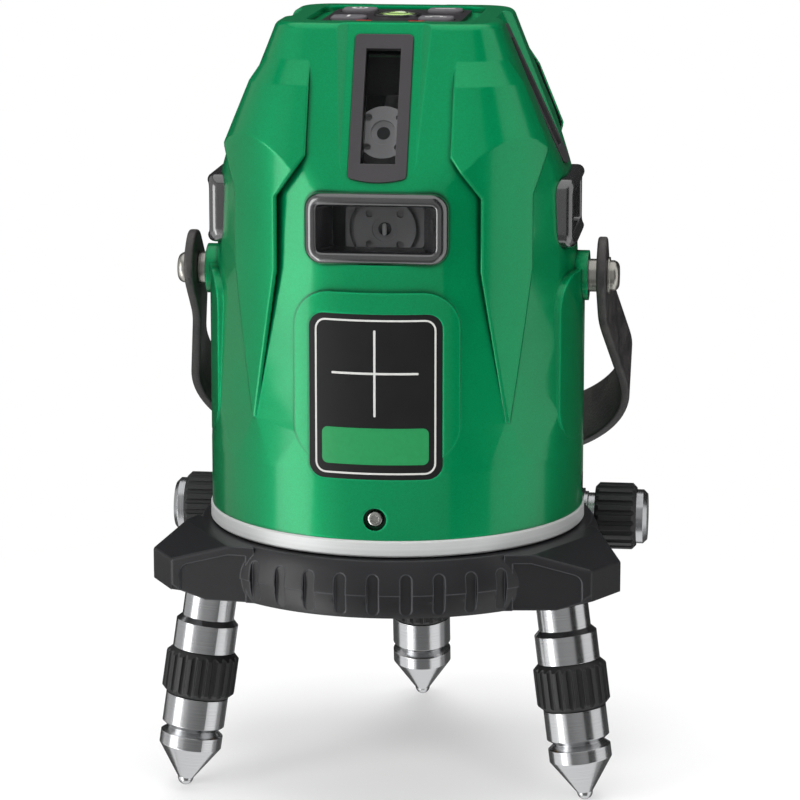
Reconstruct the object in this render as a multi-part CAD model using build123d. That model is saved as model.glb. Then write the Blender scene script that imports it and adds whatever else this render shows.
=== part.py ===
from build123d import *
import os
from math import asin, atan, cos, degrees, radians, sin, tan

# Line laser level on a three-legged base, in millimetres.
# The origin is on the turning axis, at the mouth of the tripod thread in the underside.
# The front looks along -Y, +X is the right-hand side and +Z is up.

# Cover
BODY_R = 52.5            # radius of the cylindrical part
COVER_H = 137.0          # from the grey ring to the top
WALL = 3.2               # wall of the cylindrical part
SLOPE_WALL = 7.5         # level thickness of the sloped walls that hold the windows
TOP_WALL = 5.0
TOP_HALF = 30.4          # half width of the rounded-square top
TOP_CORNER_R = 10.0
TOP_EDGE_R = 2.5
SLOPE = 22.3             # lean of the upper faces from the vertical, degrees
FACE_INSET = 3.4         # how far the faces between the petals have receded at the shoulder
FACE_START = 18.0        # height above the ring where the faces start to recede
SHOULDER_DROP = 34.0     # shoulder of the petals below the top
SHOULDER_ROUND = 12.0    # rounding of the crease between the round body and the slopes

# Raised corner petals
PETAL_RISE = 1.6         # height of a petal above the sloped faces
PETAL_ANGLE = 42.0       # direction of a petal's pointed tip from the front, degrees
PETAL_TIP = 21.0         # height of the tip above the ring
PETAL_TOP = 8.0          # end of the ramp below the top of the cover
PETAL_RAMP = 8.0         # length of the ramp at the upper end
PETAL_EDGE_R = 0.8
PETAL_BITE = 0.4         # how deep the end of the ramp runs into the face
GAP_LOW = 72.0           # the gaps stop narrowing here, above the ring
GAP_HIGH = 92.0          # and start to jog inwards here
FRONT_GAP = 27.3         # half gap between the petals on the front, low
FRONT_GAP_HIGH = 19.3    # the same on the slope
SIDE_GAP = 32.2          # half gap between the petals on a side, low
SIDE_GAP_HIGH = 27.5     # the same at the shoulder
SIDE_GAP_TOP = 24.5      # the same at the top

# Arched pads below the windows
ARCH_HALF = 22.5
ARCH_TOP = 67.6          # above the ring
ARCH_CORNER_R = 10.0
LABEL_W = 36.0
LABEL_H = 45.0
LABEL_Z = 39.3           # middle of the label above the ring
LABEL_CORNER_R = 4.0
LABEL_T = 0.6

# Window bezels of the level line
BEZEL_W = 38.7
BEZEL_H = 19.2
BEZEL_Z = 84.3           # middle above the ring
BEZEL_CORNER_R = 4.6
BEZEL_BAR_X = 4.5        # width of the end bars
BEZEL_BAR_Z = 3.3        # width of the long bars
BEZEL_PROUD = 3.4        # how far the bars stand out of the face
BEZEL_DEPTH = 10.3       # from the front of the bars to the back of the glass
BEZEL_ROUND = 1.4
BEZEL_FUNNEL_X = 2.6     # how much the opening narrows inwards at each end
BEZEL_FUNNEL_Z = 0.5     # the same at top and bottom
GLASS_T = 1.5
GLASS_LAP = 1.2          # how far a glass reaches behind its opening

# Window frames of the upright lines, on the slopes
CHANNEL_SLOPE = 25.3     # lean of the channel floor from the vertical, degrees
CHANNEL_HALF = 10.1
CHANNEL_FLARE = 52.0     # opening angle of the channel walls, degrees
CHANNEL_TOP_DEPTH = 2.2  # depth below the slope at the top of the cover
CHANNEL_BOTTOM_R = 7.0
CHANNEL_TAIL = 2.4       # length of the channel below the frame
FRAME_W = 15.6
FRAME_L = 40.3
FRAME_T = 2.0
FRAME_PROUD = 0.4
FRAME_TOP_GAP = 3.4      # from the top of the cover down to the frame, along the slope
FRAME_BAR_X = 3.1
FRAME_BAR_TOP = 4.0
FRAME_BAR_BOTTOM = 3.9
FRAME_CORNER_R = 1.2
FRAME_BULGE = 1.2        # rise of the curved lower edge

# Top panel
PANEL_W = 38.0
PANEL_T = 1.0
PANEL_CORNER_R = 3.0
RECESS_HALF = 23.0
RECESS_CORNER_R = 6.0
RECESS_DEPTH = 1.6
KEY_PITCH = 24.0
KEY_W = 9.6
KEY_L = 8.4
KEY_CORNER_R = 2.4
KEY_PROUD = 0.9
KEY_ROUND = 0.6
KEY_TRAVEL = 0.6
KEY_GAP = 0.3
KEY_STEM_R = 1.8
KEY_FLOOR = 1.4          # floor of a key well
KEY_BOARD_GAP = 3.2      # from the top wall down to the key board
VIAL_R = 5.4
VIAL_RIM = 1.2
VIAL_DEPTH = 4.2
LAMP_L = 4.4
LAMP_W = 1.4
LAMP_PITCH = 14.4
LAMP_EDGE = 1.5          # middle of a lamp from the panel's front edge
LAMP_PROUD = 0.3

# Carrying strap
STRAP_W = 18.0
STRAP_T = 2.6
STRAP_TAB = 11.5         # tab above the pivot
STRAP_DEPTH = 85.5       # pivot to the middle of the loop
STRAP_HALF_LOW = 69.0    # half width at the corners, before rounding
STRAP_CORNER_R = 38.0
STRAP_BEND_R = 60.0      # gentle bend below the pivots
STRAP_END_R = 8.0        # rounding of the tabs
STRAP_TILT = 46.9        # how far the resting loop swings back from hanging straight, degrees
STRAP_PIVOT = 64.8       # height of the pivots above the ring
STRAP_BOSS_R = 7.0
STRAP_BOSS_H = 1.2
STRAP_BUSH_R = 4.6
STRAP_BUSH_L = 2.4
STRAP_SCREW_R = 2.5
STRAP_HEAD_R = 4.3
STRAP_HEAD_H = 2.6
STRAP_HEAD_ROUND = 1.8
STRAP_WASHER_R = 5.2
STRAP_WASHER_T = 0.6
STRAP_SLOT_W = 1.2

# Chassis plate
RING_R = 52.9
RING_H = 4.6
RING_CHAMFER = 0.5
TURN_GAP = 0.4           # running gap between the base and the chassis
RIM_H = 10.0             # upstanding rim inside the cover
RIM_T = 3.0
SEAT_FIT = 0.05          # clearance of pieces that sit in each other
COVER_SCREW_Z = 5.8      # above the ring
COVER_SCREW_R = 1.5
COVER_SCREW_HEAD_R = 2.35
COVER_SCREW_HEAD_H = 1.6
COVER_SCREW_RECESS_R = 3.1
COVER_SCREW_SINK = 2.0

# Base
BASE_H = 18.0
DRUM_R = 58.0
DRUM_EDGE_R = 55.2       # drum at its upper and lower edges
PARTING_STEP = 0.25      # the lower mould half is this much smaller
BASE_FLOOR = 3.0
BASE_CAVITY_R = 44.0
SEAT_R = 32.0            # flat seat round the tripod thread
SEAT_GROOVE_W = 2.0
SEAT_GROOVE_SINK = 0.8
RIB_COUNT = 9
RIB_PITCH = 9.0          # degrees
RIB_W = 3.2
RIB_L = 11.4
RIB_SINK = 1.3
HUB_R = 71.0
HUB_END_HALF = 7.4
HUB_ROOT_R = 52.0
HUB_ROOT_HALF = 21.5
HUB_CHAMFER_R = 8.0
HUB_CHAMFER_H = 6.5
HUB_FALL = 4.4           # fall of the hub's top from the drum to its end
HUB_EDGE_R = 1.2
HUB_PANEL_EDGE = 2.4     # rim round the sunk panel on each side of a hub
HUB_PANEL_SINK = 0.6
HUB_PANEL_CORNER_R = 3.0

# Tripod thread: 5/8 inch, drawn at its major radius
THREAD_R = 7.9375
THREAD_L = 12.0
BUSH_R = 11.0
BEAM_R = 7.0             # way through for the plumb beam

# Turntable and fine drive
PIVOT_R = 16.0           # boss of the base that the worm wheel turns on
WHEEL_TEETH = 60
WHEEL_MODULE = 0.9
WHEEL_T = 7.0
WHEEL_SPIGOT_R = 21.0    # collar of the wheel that carries the chassis
WHEEL_FLANGE_R = 25.0    # ledge under the chassis
CLUTCH_R = 26.0
WORM_R = 5.7
WORM_L = 26.0
DRIVE_Z = 11.3           # height of the knob shaft
MESH_GAP = 0.3
RUN_FIT = 0.05           # radial clearance of a running fit
FACE_GAP = 0.15          # clearance between faces that slide on each other
CLUTCH_WASHER_T = 1.0
CLUTCH_NUT_T = 2.2
CLUTCH_NUT_SIDES = 12
SHAFT_R = 3.0
SHAFT_BUSH_R = 5.0
SHAFT_BUSH_FLANGE_R = 7.0
SHAFT_BUSH_FLANGE_T = 1.2
SHAFT_BOSS_R = 9.0
SHAFT_BOSS_X = 51.0      # outer face of the boss
KNOB_R = 9.7
KNOB_L = 12.0
KNOB_RIBS = 20
KNOB_GAP = 0.4           # room round the bush flange
KNOB_RIB_R = 0.8
KNOB_CHAMFER = 1.2
KNOB_CAP_R = 7.9
KNOB_CAP_T = 3.2
KNOB_NECK_R = 6.6
KNOB_NECK_L = 2.0

# Legs
LEG_DROP = 54.0          # from the underside to the leg tips
LEG_TIP_R = 65.2         # radius of the circle through the tips
LEG_SPLAY = 9.0          # degrees
LEG_STEM_R = 7.25
LEG_STEM_L = 6.0         # bare stem below the hub
LEG_STEM_SINK = 11.0     # stem inside the hub
LEG_STEM_END = 1.0       # end wall of the stem above the rod's bore
LEG_COLLAR_R = 8.65
LEG_COLLAR_L = 9.2
LEG_GRIP_R = 10.15
LEG_GRIP_L = 13.0
LEG_GRIP_CHAMFER = 1.6
LEG_GRIP_RIBS = 22
LEG_GRIP_RIB_R = 0.85
LEG_SLEEVE_R = 8.7
LEG_SLEEVE_L = 8.2
LEG_GROOVE_R = 6.9
LEG_GROOVE_L = 2.8
LEG_BAND_L = 3.5
LEG_TIP_BALL_R = 2.2
LEG_ROD_R = 4.0
LEG_TRAVEL = 12.0        # how far a leg screws out

# Battery
CELL_R = 7.25
CELL_L = 50.5
CELL_NUB_R = 2.7
CELL_NUB_L = 1.0
CELL_GAP = 0.2
CELL_COUNT = 3
CELL_PITCH_R = 39.5
CELL_Z = 16.8            # lower end of the cells above the ring
TRAY_WALL = 1.2
TRAY_GAP = 0.3
DOOR_LAP = 1.6
DOOR_GAP = 0.3
DOOR_T = 2.0
DOOR_CORNER_R = 6.0
LATCH_R = 4.2
LATCH_SINK = 0.4         # face of the latch below the door's crown
LATCH_TAIL = 2.0         # latch behind the door
LATCH_SLOT_W = 1.4
LATCH_SLOT_SINK = 0.9
LATCH_DROP = 7.0         # latch centre below the door's upper edge

# Self-levelling pendulum
PIVOT_Z = 67.0           # gimbal axes above the ring
GIMBAL_R = 25.0
GIMBAL_T = 4.5
GIMBAL_H = 7.0
GIMBAL_PIN_R = 1.5
POST_X = 35.0
POST_T = 6.0
POST_W = 14.0
YOKE_T = 4.0
YOKE_R = 40.0
YOKE_BORE_R = 28.0
POST_ABOVE = 5.0         # post above the gimbal axis
CARRIER_R = 13.0
NECK_R = 9.0
HEAD_CORNER_R = 3.0
WEIGHT_R = 17.0
WEIGHT_H = 20.0
WEIGHT_CHAMFER = 1.5
WEIGHT_Z = 12.0          # underside above the ring
LEVEL_R = 8.6            # face of a level-line projector
LEVEL_FRONT = 30.0       # its front face from the axis
LEVEL_DROP = 3.0         # its axis below the middle of the window
LEVEL_FACE_T = 3.0
LEVEL_BARREL_R = 6.0
LEVEL_FLANGE_W = 21.6
LEVEL_FLANGE_H = 13.0
LEVEL_FLANGE_T = 3.0
LEVEL_FLANGE_CORNER_R = 2.0
LEVEL_FLANGE_SINK = 1.0  # behind the front face
LEVEL_MOAT = 1.1         # gap between the face and the flange
HEAD_HALF = 18.0         # square head that carries the projectors
HEAD_GAP = 7.5           # head above the gimbal axes
UPRIGHT_R = 7.4          # upright-line projector
UPRIGHT_L = 14.0
UPRIGHT_GAP = 5.0        # behind the glass
UPRIGHT_DROP = 28.2      # its axis below the top of the channel, along the slope
ARM_R = 5.0
LENS_R = 1.8
LENS_T = 1.2
LENS_SEAT_R = 3.4        # counterbore round a lens
LENS_SEAT_SINK = 0.8
FACE_HOLE_R = 1.0        # screw holes of a projector's face
FACE_HOLE_PITCH = 8.4
FACE_HOLE_SINK = 2.0
PLUMB_R = 5.0
PLUMB_L = 8.0

# Boards
BOARD_T = 1.6
BOARD_R = 45.6
BOARD_FRONT = 14.0       # straight edge from the axis
STANDOFF_R = 1.7
STANDOFF_H = 7.0
STANDOFF_ANGLE = 55.0
STANDOFF_CIRCLE_R = 43.9
SWITCH_W = 4.0
SWITCH_H = 1.4
KEY_POST_R = 2.2
KEY_POST_PITCH = 40.0
KEY_BOARD_W = 46.0

# Cutting bodies reach this far past the face they cut
CUT_PAST = 1.0

# Levels and places that follow from the sizes above
RING_Z = BASE_H + TURN_GAP
COVER_Z = RING_Z + RING_H
TOP_Z = COVER_Z + COVER_H
SHOULDER_Z = TOP_Z - SHOULDER_DROP
FACE_R = BODY_R - FACE_INSET
LEAN = tan(radians(SLOPE))
PETAL_TIP_Z = COVER_Z + PETAL_TIP
GAP_LOW_Z = COVER_Z + GAP_LOW
GAP_HIGH_Z = COVER_Z + GAP_HIGH
BEZEL_MID_Z = COVER_Z + BEZEL_Z
FRAME_COS = cos(radians(CHANNEL_SLOPE))
FRAME_SIN = sin(radians(CHANNEL_SLOPE))
PIVOT_LEVEL = COVER_Z + PIVOT_Z
STRAP_LEVEL = COVER_Z + STRAP_PIVOT
RECESS_Z = TOP_Z - RECESS_DEPTH
KEY_TOP_Z = RECESS_Z + PANEL_T + KEY_PROUD
VIAL_Z = RECESS_Z - VIAL_DEPTH
STRAP_MID_X = BODY_R + STRAP_BOSS_H + STRAP_BUSH_L + FACE_GAP + STRAP_T / 2
WHEEL_PITCH_R = WHEEL_TEETH * WHEEL_MODULE / 2
DRIVE_Y = WHEEL_PITCH_R + WORM_R
CLUTCH_TOP_Z = COVER_Z + FACE_GAP + CLUTCH_WASHER_T + CLUTCH_NUT_T
PIVOT_TOP_Z = COVER_Z
KNOB_X = SHAFT_BOSS_X + SHAFT_BUSH_FLANGE_T + FACE_GAP + KNOB_NECK_L
LEG_COLLAR_END = LEG_STEM_L + LEG_COLLAR_L
LEG_ROD_L = LEG_GRIP_L + LEG_TRAVEL
FACE_FALL = FACE_INSET / (SHOULDER_Z - COVER_Z - FACE_START)
BEZEL_R = FACE_R + FACE_FALL * (SHOULDER_Z - BEZEL_MID_Z) + BEZEL_PROUD
BEZEL_BACK = BEZEL_R - BEZEL_DEPTH
FRAME_SEAT = FRAME_T - FRAME_PROUD
SKIRT_R = BODY_R - WALL
STRAP_BOSS_X = BODY_R + STRAP_BOSS_H
STRAP_BOSS_IN = BODY_R - 2 * WALL
CELL_LOW_Z = COVER_Z + CELL_Z
CELL_TURN = 2 * degrees(asin((CELL_R + CELL_GAP / 2) / CELL_PITCH_R))
CELL_SPREAD = CELL_PITCH_R * sin(radians(CELL_TURN * (CELL_COUNT - 1) / 2)) + CELL_R
CELL_ROOM = CELL_L + CELL_NUB_L
DOOR_HALF = CELL_SPREAD + TRAY_GAP + DOOR_LAP
DOOR_LEN = CELL_ROOM + 2 * TRAY_GAP + 2 * DOOR_LAP
DOOR_MID_Z = CELL_LOW_Z + CELL_ROOM / 2
KEY_WELL_Z = TOP_Z - TOP_WALL + KEY_FLOOR
KEY_BOARD_Z = TOP_Z - TOP_WALL - KEY_BOARD_GAP - BOARD_T
KEY_SWITCH_Z = KEY_BOARD_Z + BOARD_T + SWITCH_H
KEY_CAP_Z = KEY_WELL_Z + KEY_TRAVEL + FACE_GAP
LATCH_Z = DOOR_MID_Z + DOOR_LEN / 2 - LATCH_DROP
LATCH_OUT = BODY_R - LATCH_SINK
LATCH_IN = BODY_R - DOOR_T - LATCH_TAIL
SIDES = {"front": 0, "right": 90, "back": 180, "left": 270}
LEGS = {"right": 60, "back": 180, "left": 300}


def turned(shape, angle):
    """Turn a piece made at the front to another side, anticlockwise from above."""
    return Rot(0, 0, angle) * shape


def from_front(sketch, y_near, y_far, taper=0):
    """Extrude an outline drawn in x and z between two distances in front of the axis."""
    return extrude(Plane.XZ.offset(y_near) * sketch, y_far - y_near, taper=taper)


def rod_along_x(radius, x_from, x_to, y, z):
    face = Plane(origin=(x_from, y, z), x_dir=(0, 1, 0), z_dir=(1, 0, 0)) * Circle(radius)
    return extrude(face, x_to - x_from)


def rod_along_y(radius, y_from, y_to, x, z):
    face = Plane(origin=(x, y_from, z), x_dir=(0, 0, 1), z_dir=(0, 1, 0)) * Circle(radius)
    return extrude(face, y_to - y_from)


def disc(radius, z_from, z_to):
    return extrude(Pos(0, 0, z_from) * Circle(radius), z_to - z_from)


def tube(outer, inner, z_from, z_to):
    return extrude(Pos(0, 0, z_from) * (Circle(outer) - Circle(inner)), z_to - z_from)


def spun(points):
    """Solid of revolution about Z from a closed outline in radius and height."""
    outline = make_face(Plane.XZ * Polyline(points, close=True))
    return revolve(outline, Axis.Z)


def slope_block(rise, end_drop=0.0, lean=SLOPE):
    """Four-sided block with rounded corners that leans in towards its upper end."""
    height = COVER_H - end_drop
    spread = height * tan(radians(lean))
    inward = end_drop * LEAN + rise
    half = TOP_HALF + inward + spread
    foot = Pos(0, 0, COVER_Z) * RectangleRounded(2 * half, 2 * half, TOP_CORNER_R + inward + spread)
    return extrude(foot, height, taper=lean)


def face_shell(inset, lift=0):
    """Round body whose faces recede upwards, cut off by the slopes."""
    low = BODY_R - inset
    high = FACE_R - inset
    return spun([(0, COVER_Z - lift), (low, COVER_Z - lift), (low, COVER_Z + FACE_START),
                 (high, SHOULDER_Z), (high, TOP_Z), (0, TOP_Z)])


def mirrored_outline(points):
    """Closed outline from its right-hand half."""
    left = [(-x, z) for x, z in reversed(points)]
    return make_face(Polyline(points + left, close=True))


def petals():
    """The four raised corners: what is left of a larger body between the front and side gaps."""
    ramp_lean = LEAN + (PETAL_RISE + PETAL_BITE) / PETAL_RAMP
    ramp = slope_block(-PETAL_BITE, PETAL_TOP, degrees(atan(ramp_lean)))
    blank = disc(BODY_R, PETAL_TIP_Z, TOP_Z) & slope_block(PETAL_RISE) & ramp
    tip_x = BODY_R * sin(radians(PETAL_ANGLE))
    tip_y = BODY_R * cos(radians(PETAL_ANGLE))
    front = mirrored_outline([(tip_x, PETAL_TIP_Z), (FRONT_GAP, GAP_LOW_Z), (FRONT_GAP, GAP_HIGH_Z),
                              (FRONT_GAP_HIGH, SHOULDER_Z), (FRONT_GAP_HIGH, TOP_Z)])
    side = mirrored_outline([(tip_y, PETAL_TIP_Z), (SIDE_GAP, GAP_LOW_Z), (SIDE_GAP, GAP_HIGH_Z),
                             (SIDE_GAP_HIGH, SHOULDER_Z), (SIDE_GAP_TOP, TOP_Z)])
    blank -= from_front(front, -2 * BODY_R, 2 * BODY_R)
    blank -= turned(from_front(side, -2 * BODY_R, 2 * BODY_R), 90)
    return blank


def pad(half, z_low, z_high, corner):
    """A pad of the full body radius on the front, with rounded corners."""
    outline = Pos(0, (z_low + z_high) / 2) * RectangleRounded(2 * half, z_high - z_low, corner)
    return from_front(outline, BODY_R / 2, 2 * BODY_R) & disc(BODY_R, z_low, z_high)


def channel_plane(depth=0.0):
    """Plane of the front channel's floor, or below it; local y runs up the slope."""
    top_y = TOP_HALF - CHANNEL_TOP_DEPTH / cos(radians(SLOPE))
    floor = Plane(origin=(0, -top_y, TOP_Z), x_dir=(1, 0, 0), z_dir=(0, -FRAME_COS, FRAME_SIN))
    return floor.offset(-depth)


def frame_outline():
    top = -FRAME_TOP_GAP
    low = top - FRAME_L
    half = FRAME_W / 2
    sides = Polyline((-half, low), (-half, top), (half, top), (half, low))
    curve = ThreePointArc((half, low), (0, low - FRAME_BULGE), (-half, low))
    return fillet(make_face([sides, curve]).vertices(), FRAME_CORNER_R)


def frame_opening(lap=0.0):
    length = FRAME_L - FRAME_BAR_TOP - FRAME_BAR_BOTTOM
    middle = -FRAME_TOP_GAP - FRAME_BAR_TOP - length / 2
    return Pos(0, middle) * Rectangle(FRAME_W - 2 * FRAME_BAR_X + 2 * lap, length + 2 * lap)


def slope_frame():
    plate = extrude(channel_plane(FRAME_SEAT) * frame_outline(), FRAME_T)
    return plate - extrude(channel_plane(FRAME_SEAT) * frame_opening(), FRAME_T)


def slope_glass():
    return extrude(channel_plane(FRAME_SEAT + GLASS_T) * frame_opening(GLASS_LAP), GLASS_T)


def slope_cut():
    """Channel, frame seat, glass seat and light slot of one sloped face."""
    tail = FRAME_TOP_GAP + FRAME_L + CHANNEL_TAIL
    head = 2 * CHANNEL_BOTTOM_R
    trough = RectangleRounded(2 * CHANNEL_HALF, head + tail, CHANNEL_BOTTOM_R)
    trough = Pos(0, (head - tail) / 2) * trough
    cut = extrude(channel_plane() * trough, SLOPE_WALL, taper=-CHANNEL_FLARE)
    cut += extrude(channel_plane(FRAME_SEAT) * frame_outline(), SLOPE_WALL)
    cut += extrude(channel_plane(FRAME_SEAT + GLASS_T) * frame_opening(GLASS_LAP), SLOPE_WALL)
    cut += extrude(channel_plane(3 * SLOPE_WALL) * frame_opening(), 3 * SLOPE_WALL)
    return cut


def bezel_outline(grow=0.0):
    width = BEZEL_W + 2 * grow
    return Pos(0, BEZEL_MID_Z) * RectangleRounded(width, BEZEL_H + 2 * grow, BEZEL_CORNER_R + grow)


def bezel_hole(at_back, lap=0.0):
    narrow_x = BEZEL_FUNNEL_X if at_back else 0
    narrow_z = BEZEL_FUNNEL_Z if at_back else 0
    width = BEZEL_W - 2 * BEZEL_BAR_X - 2 * narrow_x + 2 * lap
    height = BEZEL_H - 2 * BEZEL_BAR_Z - 2 * narrow_z + 2 * lap
    return Pos(0, BEZEL_MID_Z) * Rectangle(width, height)


def bezel():
    """Ring of rounded bars round a window of the level line, curved like the body."""
    block = from_front(bezel_outline(), BEZEL_BACK, 2 * BODY_R)
    block &= disc(BEZEL_R, BEZEL_MID_Z - BEZEL_H, BEZEL_MID_Z + BEZEL_H)
    far = Plane.XZ.offset(BEZEL_R) * bezel_hole(False)
    near = Plane.XZ.offset(BEZEL_BACK) * bezel_hole(True)
    block -= loft([far, near], ruled=True)
    front = block.faces().filter_by(GeomType.CYLINDER).sort_by(SortBy.AREA)[-1]
    block = fillet(front.edges(), BEZEL_ROUND)
    return block - from_front(bezel_hole(True, GLASS_LAP), BEZEL_BACK, BEZEL_BACK + GLASS_T)


def bezel_glass():
    return from_front(bezel_hole(True, GLASS_LAP), BEZEL_BACK, BEZEL_BACK + GLASS_T)


def label_outline(radius_gap=0.0):
    middle = COVER_Z + LABEL_Z
    outline = Pos(0, middle) * RectangleRounded(LABEL_W, LABEL_H, LABEL_CORNER_R)
    plate = from_front(outline, BODY_R / 2, 2 * BODY_R)
    shell = tube(BODY_R + radius_gap, BODY_R - LABEL_T, COVER_Z, TOP_Z)
    return plate & shell


def screw_places():
    return [turned(Pos(0, 0, COVER_Z + COVER_SCREW_Z), angle) for angle in SIDES.values()]


def cover_screw():
    """Countersunk in the skirt of the cover and screwed into the rim of the chassis."""
    seat = BODY_R - COVER_SCREW_SINK
    shank = rod_along_y(COVER_SCREW_R, -seat, -(SKIRT_R - RIM_T), 0, 0)
    head = rod_along_y(COVER_SCREW_HEAD_R, -seat - COVER_SCREW_HEAD_H, -seat, 0, 0)
    return shank + head


def door_outline(grow=0.0):
    width = 2 * (DOOR_HALF + grow)
    return Pos(0, DOOR_MID_Z) * RectangleRounded(width, DOOR_LEN + 2 * grow, DOOR_CORNER_R)


def key_places():
    half = KEY_PITCH / 2
    return {"power_key": (-half, half), "level_key": (half, half),
            "upright_key": (-half, -half), "pulse_key": (half, -half)}


def key_outline(grow=0.0):
    return RectangleRounded(KEY_W + 2 * grow, KEY_L + 2 * grow, KEY_CORNER_R)


def cover():
    core = face_shell(0) & slope_block(0)
    low = SHOULDER_Z - 2 * SHOULDER_ROUND
    crease = [e for e in core.edges() if low < e.center().Z < SHOULDER_Z + CUT_PAST]
    core = fillet(crease, SHOULDER_ROUND)
    core = fillet(core.faces().sort_by(Axis.Z)[-1].edges(), TOP_EDGE_R)
    raised = petals()
    upper = [e for e in raised.edges() if e.center().Z > PETAL_TIP_Z + CUT_PAST]
    rims = [e for e in upper if edge_reach(e) > TOP_HALF]
    body = core + fillet(rims, PETAL_EDGE_R)
    for side, angle in SIDES.items():
        if side != "back":
            body += turned(pad(ARCH_HALF, PETAL_TIP_Z, COVER_Z + ARCH_TOP, ARCH_CORNER_R), angle)
    for way in (-1, 1):
        body += rod_along_x(STRAP_BOSS_R, way * BODY_R / 2, way * STRAP_BOSS_X, 0, STRAP_LEVEL)
    roof = disc(2 * BODY_R, TOP_Z - TOP_WALL, TOP_Z + CUT_PAST)
    body -= face_shell(WALL, CUT_PAST) & (slope_block(-SLOPE_WALL) - roof)
    for angle in SIDES.values():
        body -= turned(slope_cut(), angle)
        body -= turned(from_front(bezel_outline(), BODY_R / 2, 2 * BODY_R), angle)
    body -= label_outline(CUT_PAST)
    for place in screw_places():
        body -= place * rod_along_y(COVER_SCREW_R + SEAT_FIT, -2 * BODY_R, -BODY_R / 2, 0, 0)
        body -= place * rod_along_y(COVER_SCREW_RECESS_R, -2 * BODY_R, COVER_SCREW_SINK - BODY_R, 0, 0)
    for way in (-1, 1):
        body += rod_along_x(STRAP_BOSS_R, way * STRAP_BOSS_IN, way * BODY_R, 0, STRAP_LEVEL)
        body -= rod_along_x(STRAP_SCREW_R + SEAT_FIT, way * BODY_R / 2, way * BODY_R * 2, 0, STRAP_LEVEL)
    body -= turned(from_front(door_outline(-DOOR_LAP), BODY_R / 2, 2 * BODY_R), 180)
    rebate = from_front(door_outline(DOOR_GAP), BODY_R / 2, 2 * BODY_R) - disc(BODY_R - DOOR_T, 0, TOP_Z)
    body -= turned(rebate, 180)
    recess = RectangleRounded(2 * RECESS_HALF, 2 * RECESS_HALF, RECESS_CORNER_R)
    body -= extrude(Pos(0, 0, RECESS_Z) * recess, COVER_H)
    body -= disc(VIAL_R + VIAL_RIM, TOP_Z - 2 * TOP_WALL, TOP_Z)
    for x, y in key_places().values():
        body -= extrude(Pos(x, y, KEY_WELL_Z) * key_outline(KEY_GAP), COVER_H)
        body -= Pos(x, y) * disc(KEY_STEM_R + KEY_GAP, TOP_Z - 2 * TOP_WALL, TOP_Z)
    post = disc(KEY_POST_R, KEY_BOARD_Z + BOARD_T, TOP_Z - TOP_WALL)
    for place in GridLocations(KEY_POST_PITCH, KEY_POST_PITCH, 2, 2):
        body += place * post
    return body


def edge_reach(edge):
    """Least distance of an edge's ends from the turning axis."""
    return min((v.X ** 2 + v.Y ** 2) ** 0.5 for v in edge.vertices())


def chassis_plate():
    """Turned plate under the cover: its edge is the visible ring and its rim takes the cover screws."""
    plate = tube(RING_R, WHEEL_SPIGOT_R + RUN_FIT, RING_Z, COVER_Z)
    plate = chamfer(plate.edges().filter_by(GeomType.CIRCLE).group_by(SortBy.RADIUS)[-1], RING_CHAMFER)
    rim_r = SKIRT_R - SEAT_FIT
    plate += tube(rim_r, rim_r - RIM_T, COVER_Z, COVER_Z + RIM_H)
    for place in screw_places():
        plate -= place * rod_along_y(COVER_SCREW_R, -2 * BODY_R, -BODY_R / 2, 0, 0)
    standoff = Pos(0, -STANDOFF_CIRCLE_R) * disc(STANDOFF_R, COVER_Z, COVER_Z + STANDOFF_H)
    for angle in (-STANDOFF_ANGLE, 0, STANDOFF_ANGLE):
        plate += turned(standoff, angle)
    return plate


def top_panel():
    panel = extrude(Pos(0, 0, RECESS_Z) * RectangleRounded(PANEL_W, PANEL_W, PANEL_CORNER_R), PANEL_T)
    panel -= disc(VIAL_R + VIAL_RIM, RECESS_Z, TOP_Z)
    for x, y in key_places().values():
        panel -= extrude(Pos(x, y, RECESS_Z) * key_outline(KEY_GAP), PANEL_T)
    for place in lamp_places():
        panel -= place * lamp(PANEL_T)
    return panel


def lamp_places():
    return [Pos(way * LAMP_PITCH / 2, LAMP_EDGE - PANEL_W / 2, RECESS_Z) for way in (-1, 1)]


def lamp(height):
    return extrude(SlotOverall(LAMP_L, LAMP_W), height)


def key():
    """Key cap with a rounded top and the stem that works its switch."""
    cap = extrude(Pos(0, 0, KEY_CAP_Z) * key_outline(), KEY_TOP_Z - KEY_CAP_Z)
    cap = fillet(cap.faces().sort_by(Axis.Z)[-1].edges(), KEY_ROUND)
    return cap + disc(KEY_STEM_R, KEY_SWITCH_Z + KEY_TRAVEL + FACE_GAP, KEY_CAP_Z)


def key_board():
    outline = RectangleRounded(KEY_BOARD_W, KEY_BOARD_W, KEY_CORNER_R)
    board = extrude(Pos(0, 0, KEY_BOARD_Z) * outline, BOARD_T)
    for x, y in key_places().values():
        switch = Pos(x, y, KEY_BOARD_Z + BOARD_T) * Rectangle(SWITCH_W, SWITCH_W)
        board += extrude(switch, SWITCH_H)
    return board


def vial_cup():
    cup = disc(VIAL_R + VIAL_RIM, VIAL_Z - VIAL_RIM, TOP_Z)
    return cup - disc(VIAL_R, VIAL_Z, TOP_Z)


def strap_line():
    """Right half of the loop hanging straight, then the left half."""
    half = STRAP_MID_X
    right = [(half, STRAP_TAB), (half, -STRAP_TAB), (STRAP_HALF_LOW, -STRAP_DEPTH)]
    left = [(-x, z) for x, z in reversed(right)]
    bends = [STRAP_BEND_R, STRAP_CORNER_R, STRAP_CORNER_R, STRAP_BEND_R]
    return FilletPolyline(*(right + left), radius=bends)


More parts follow.
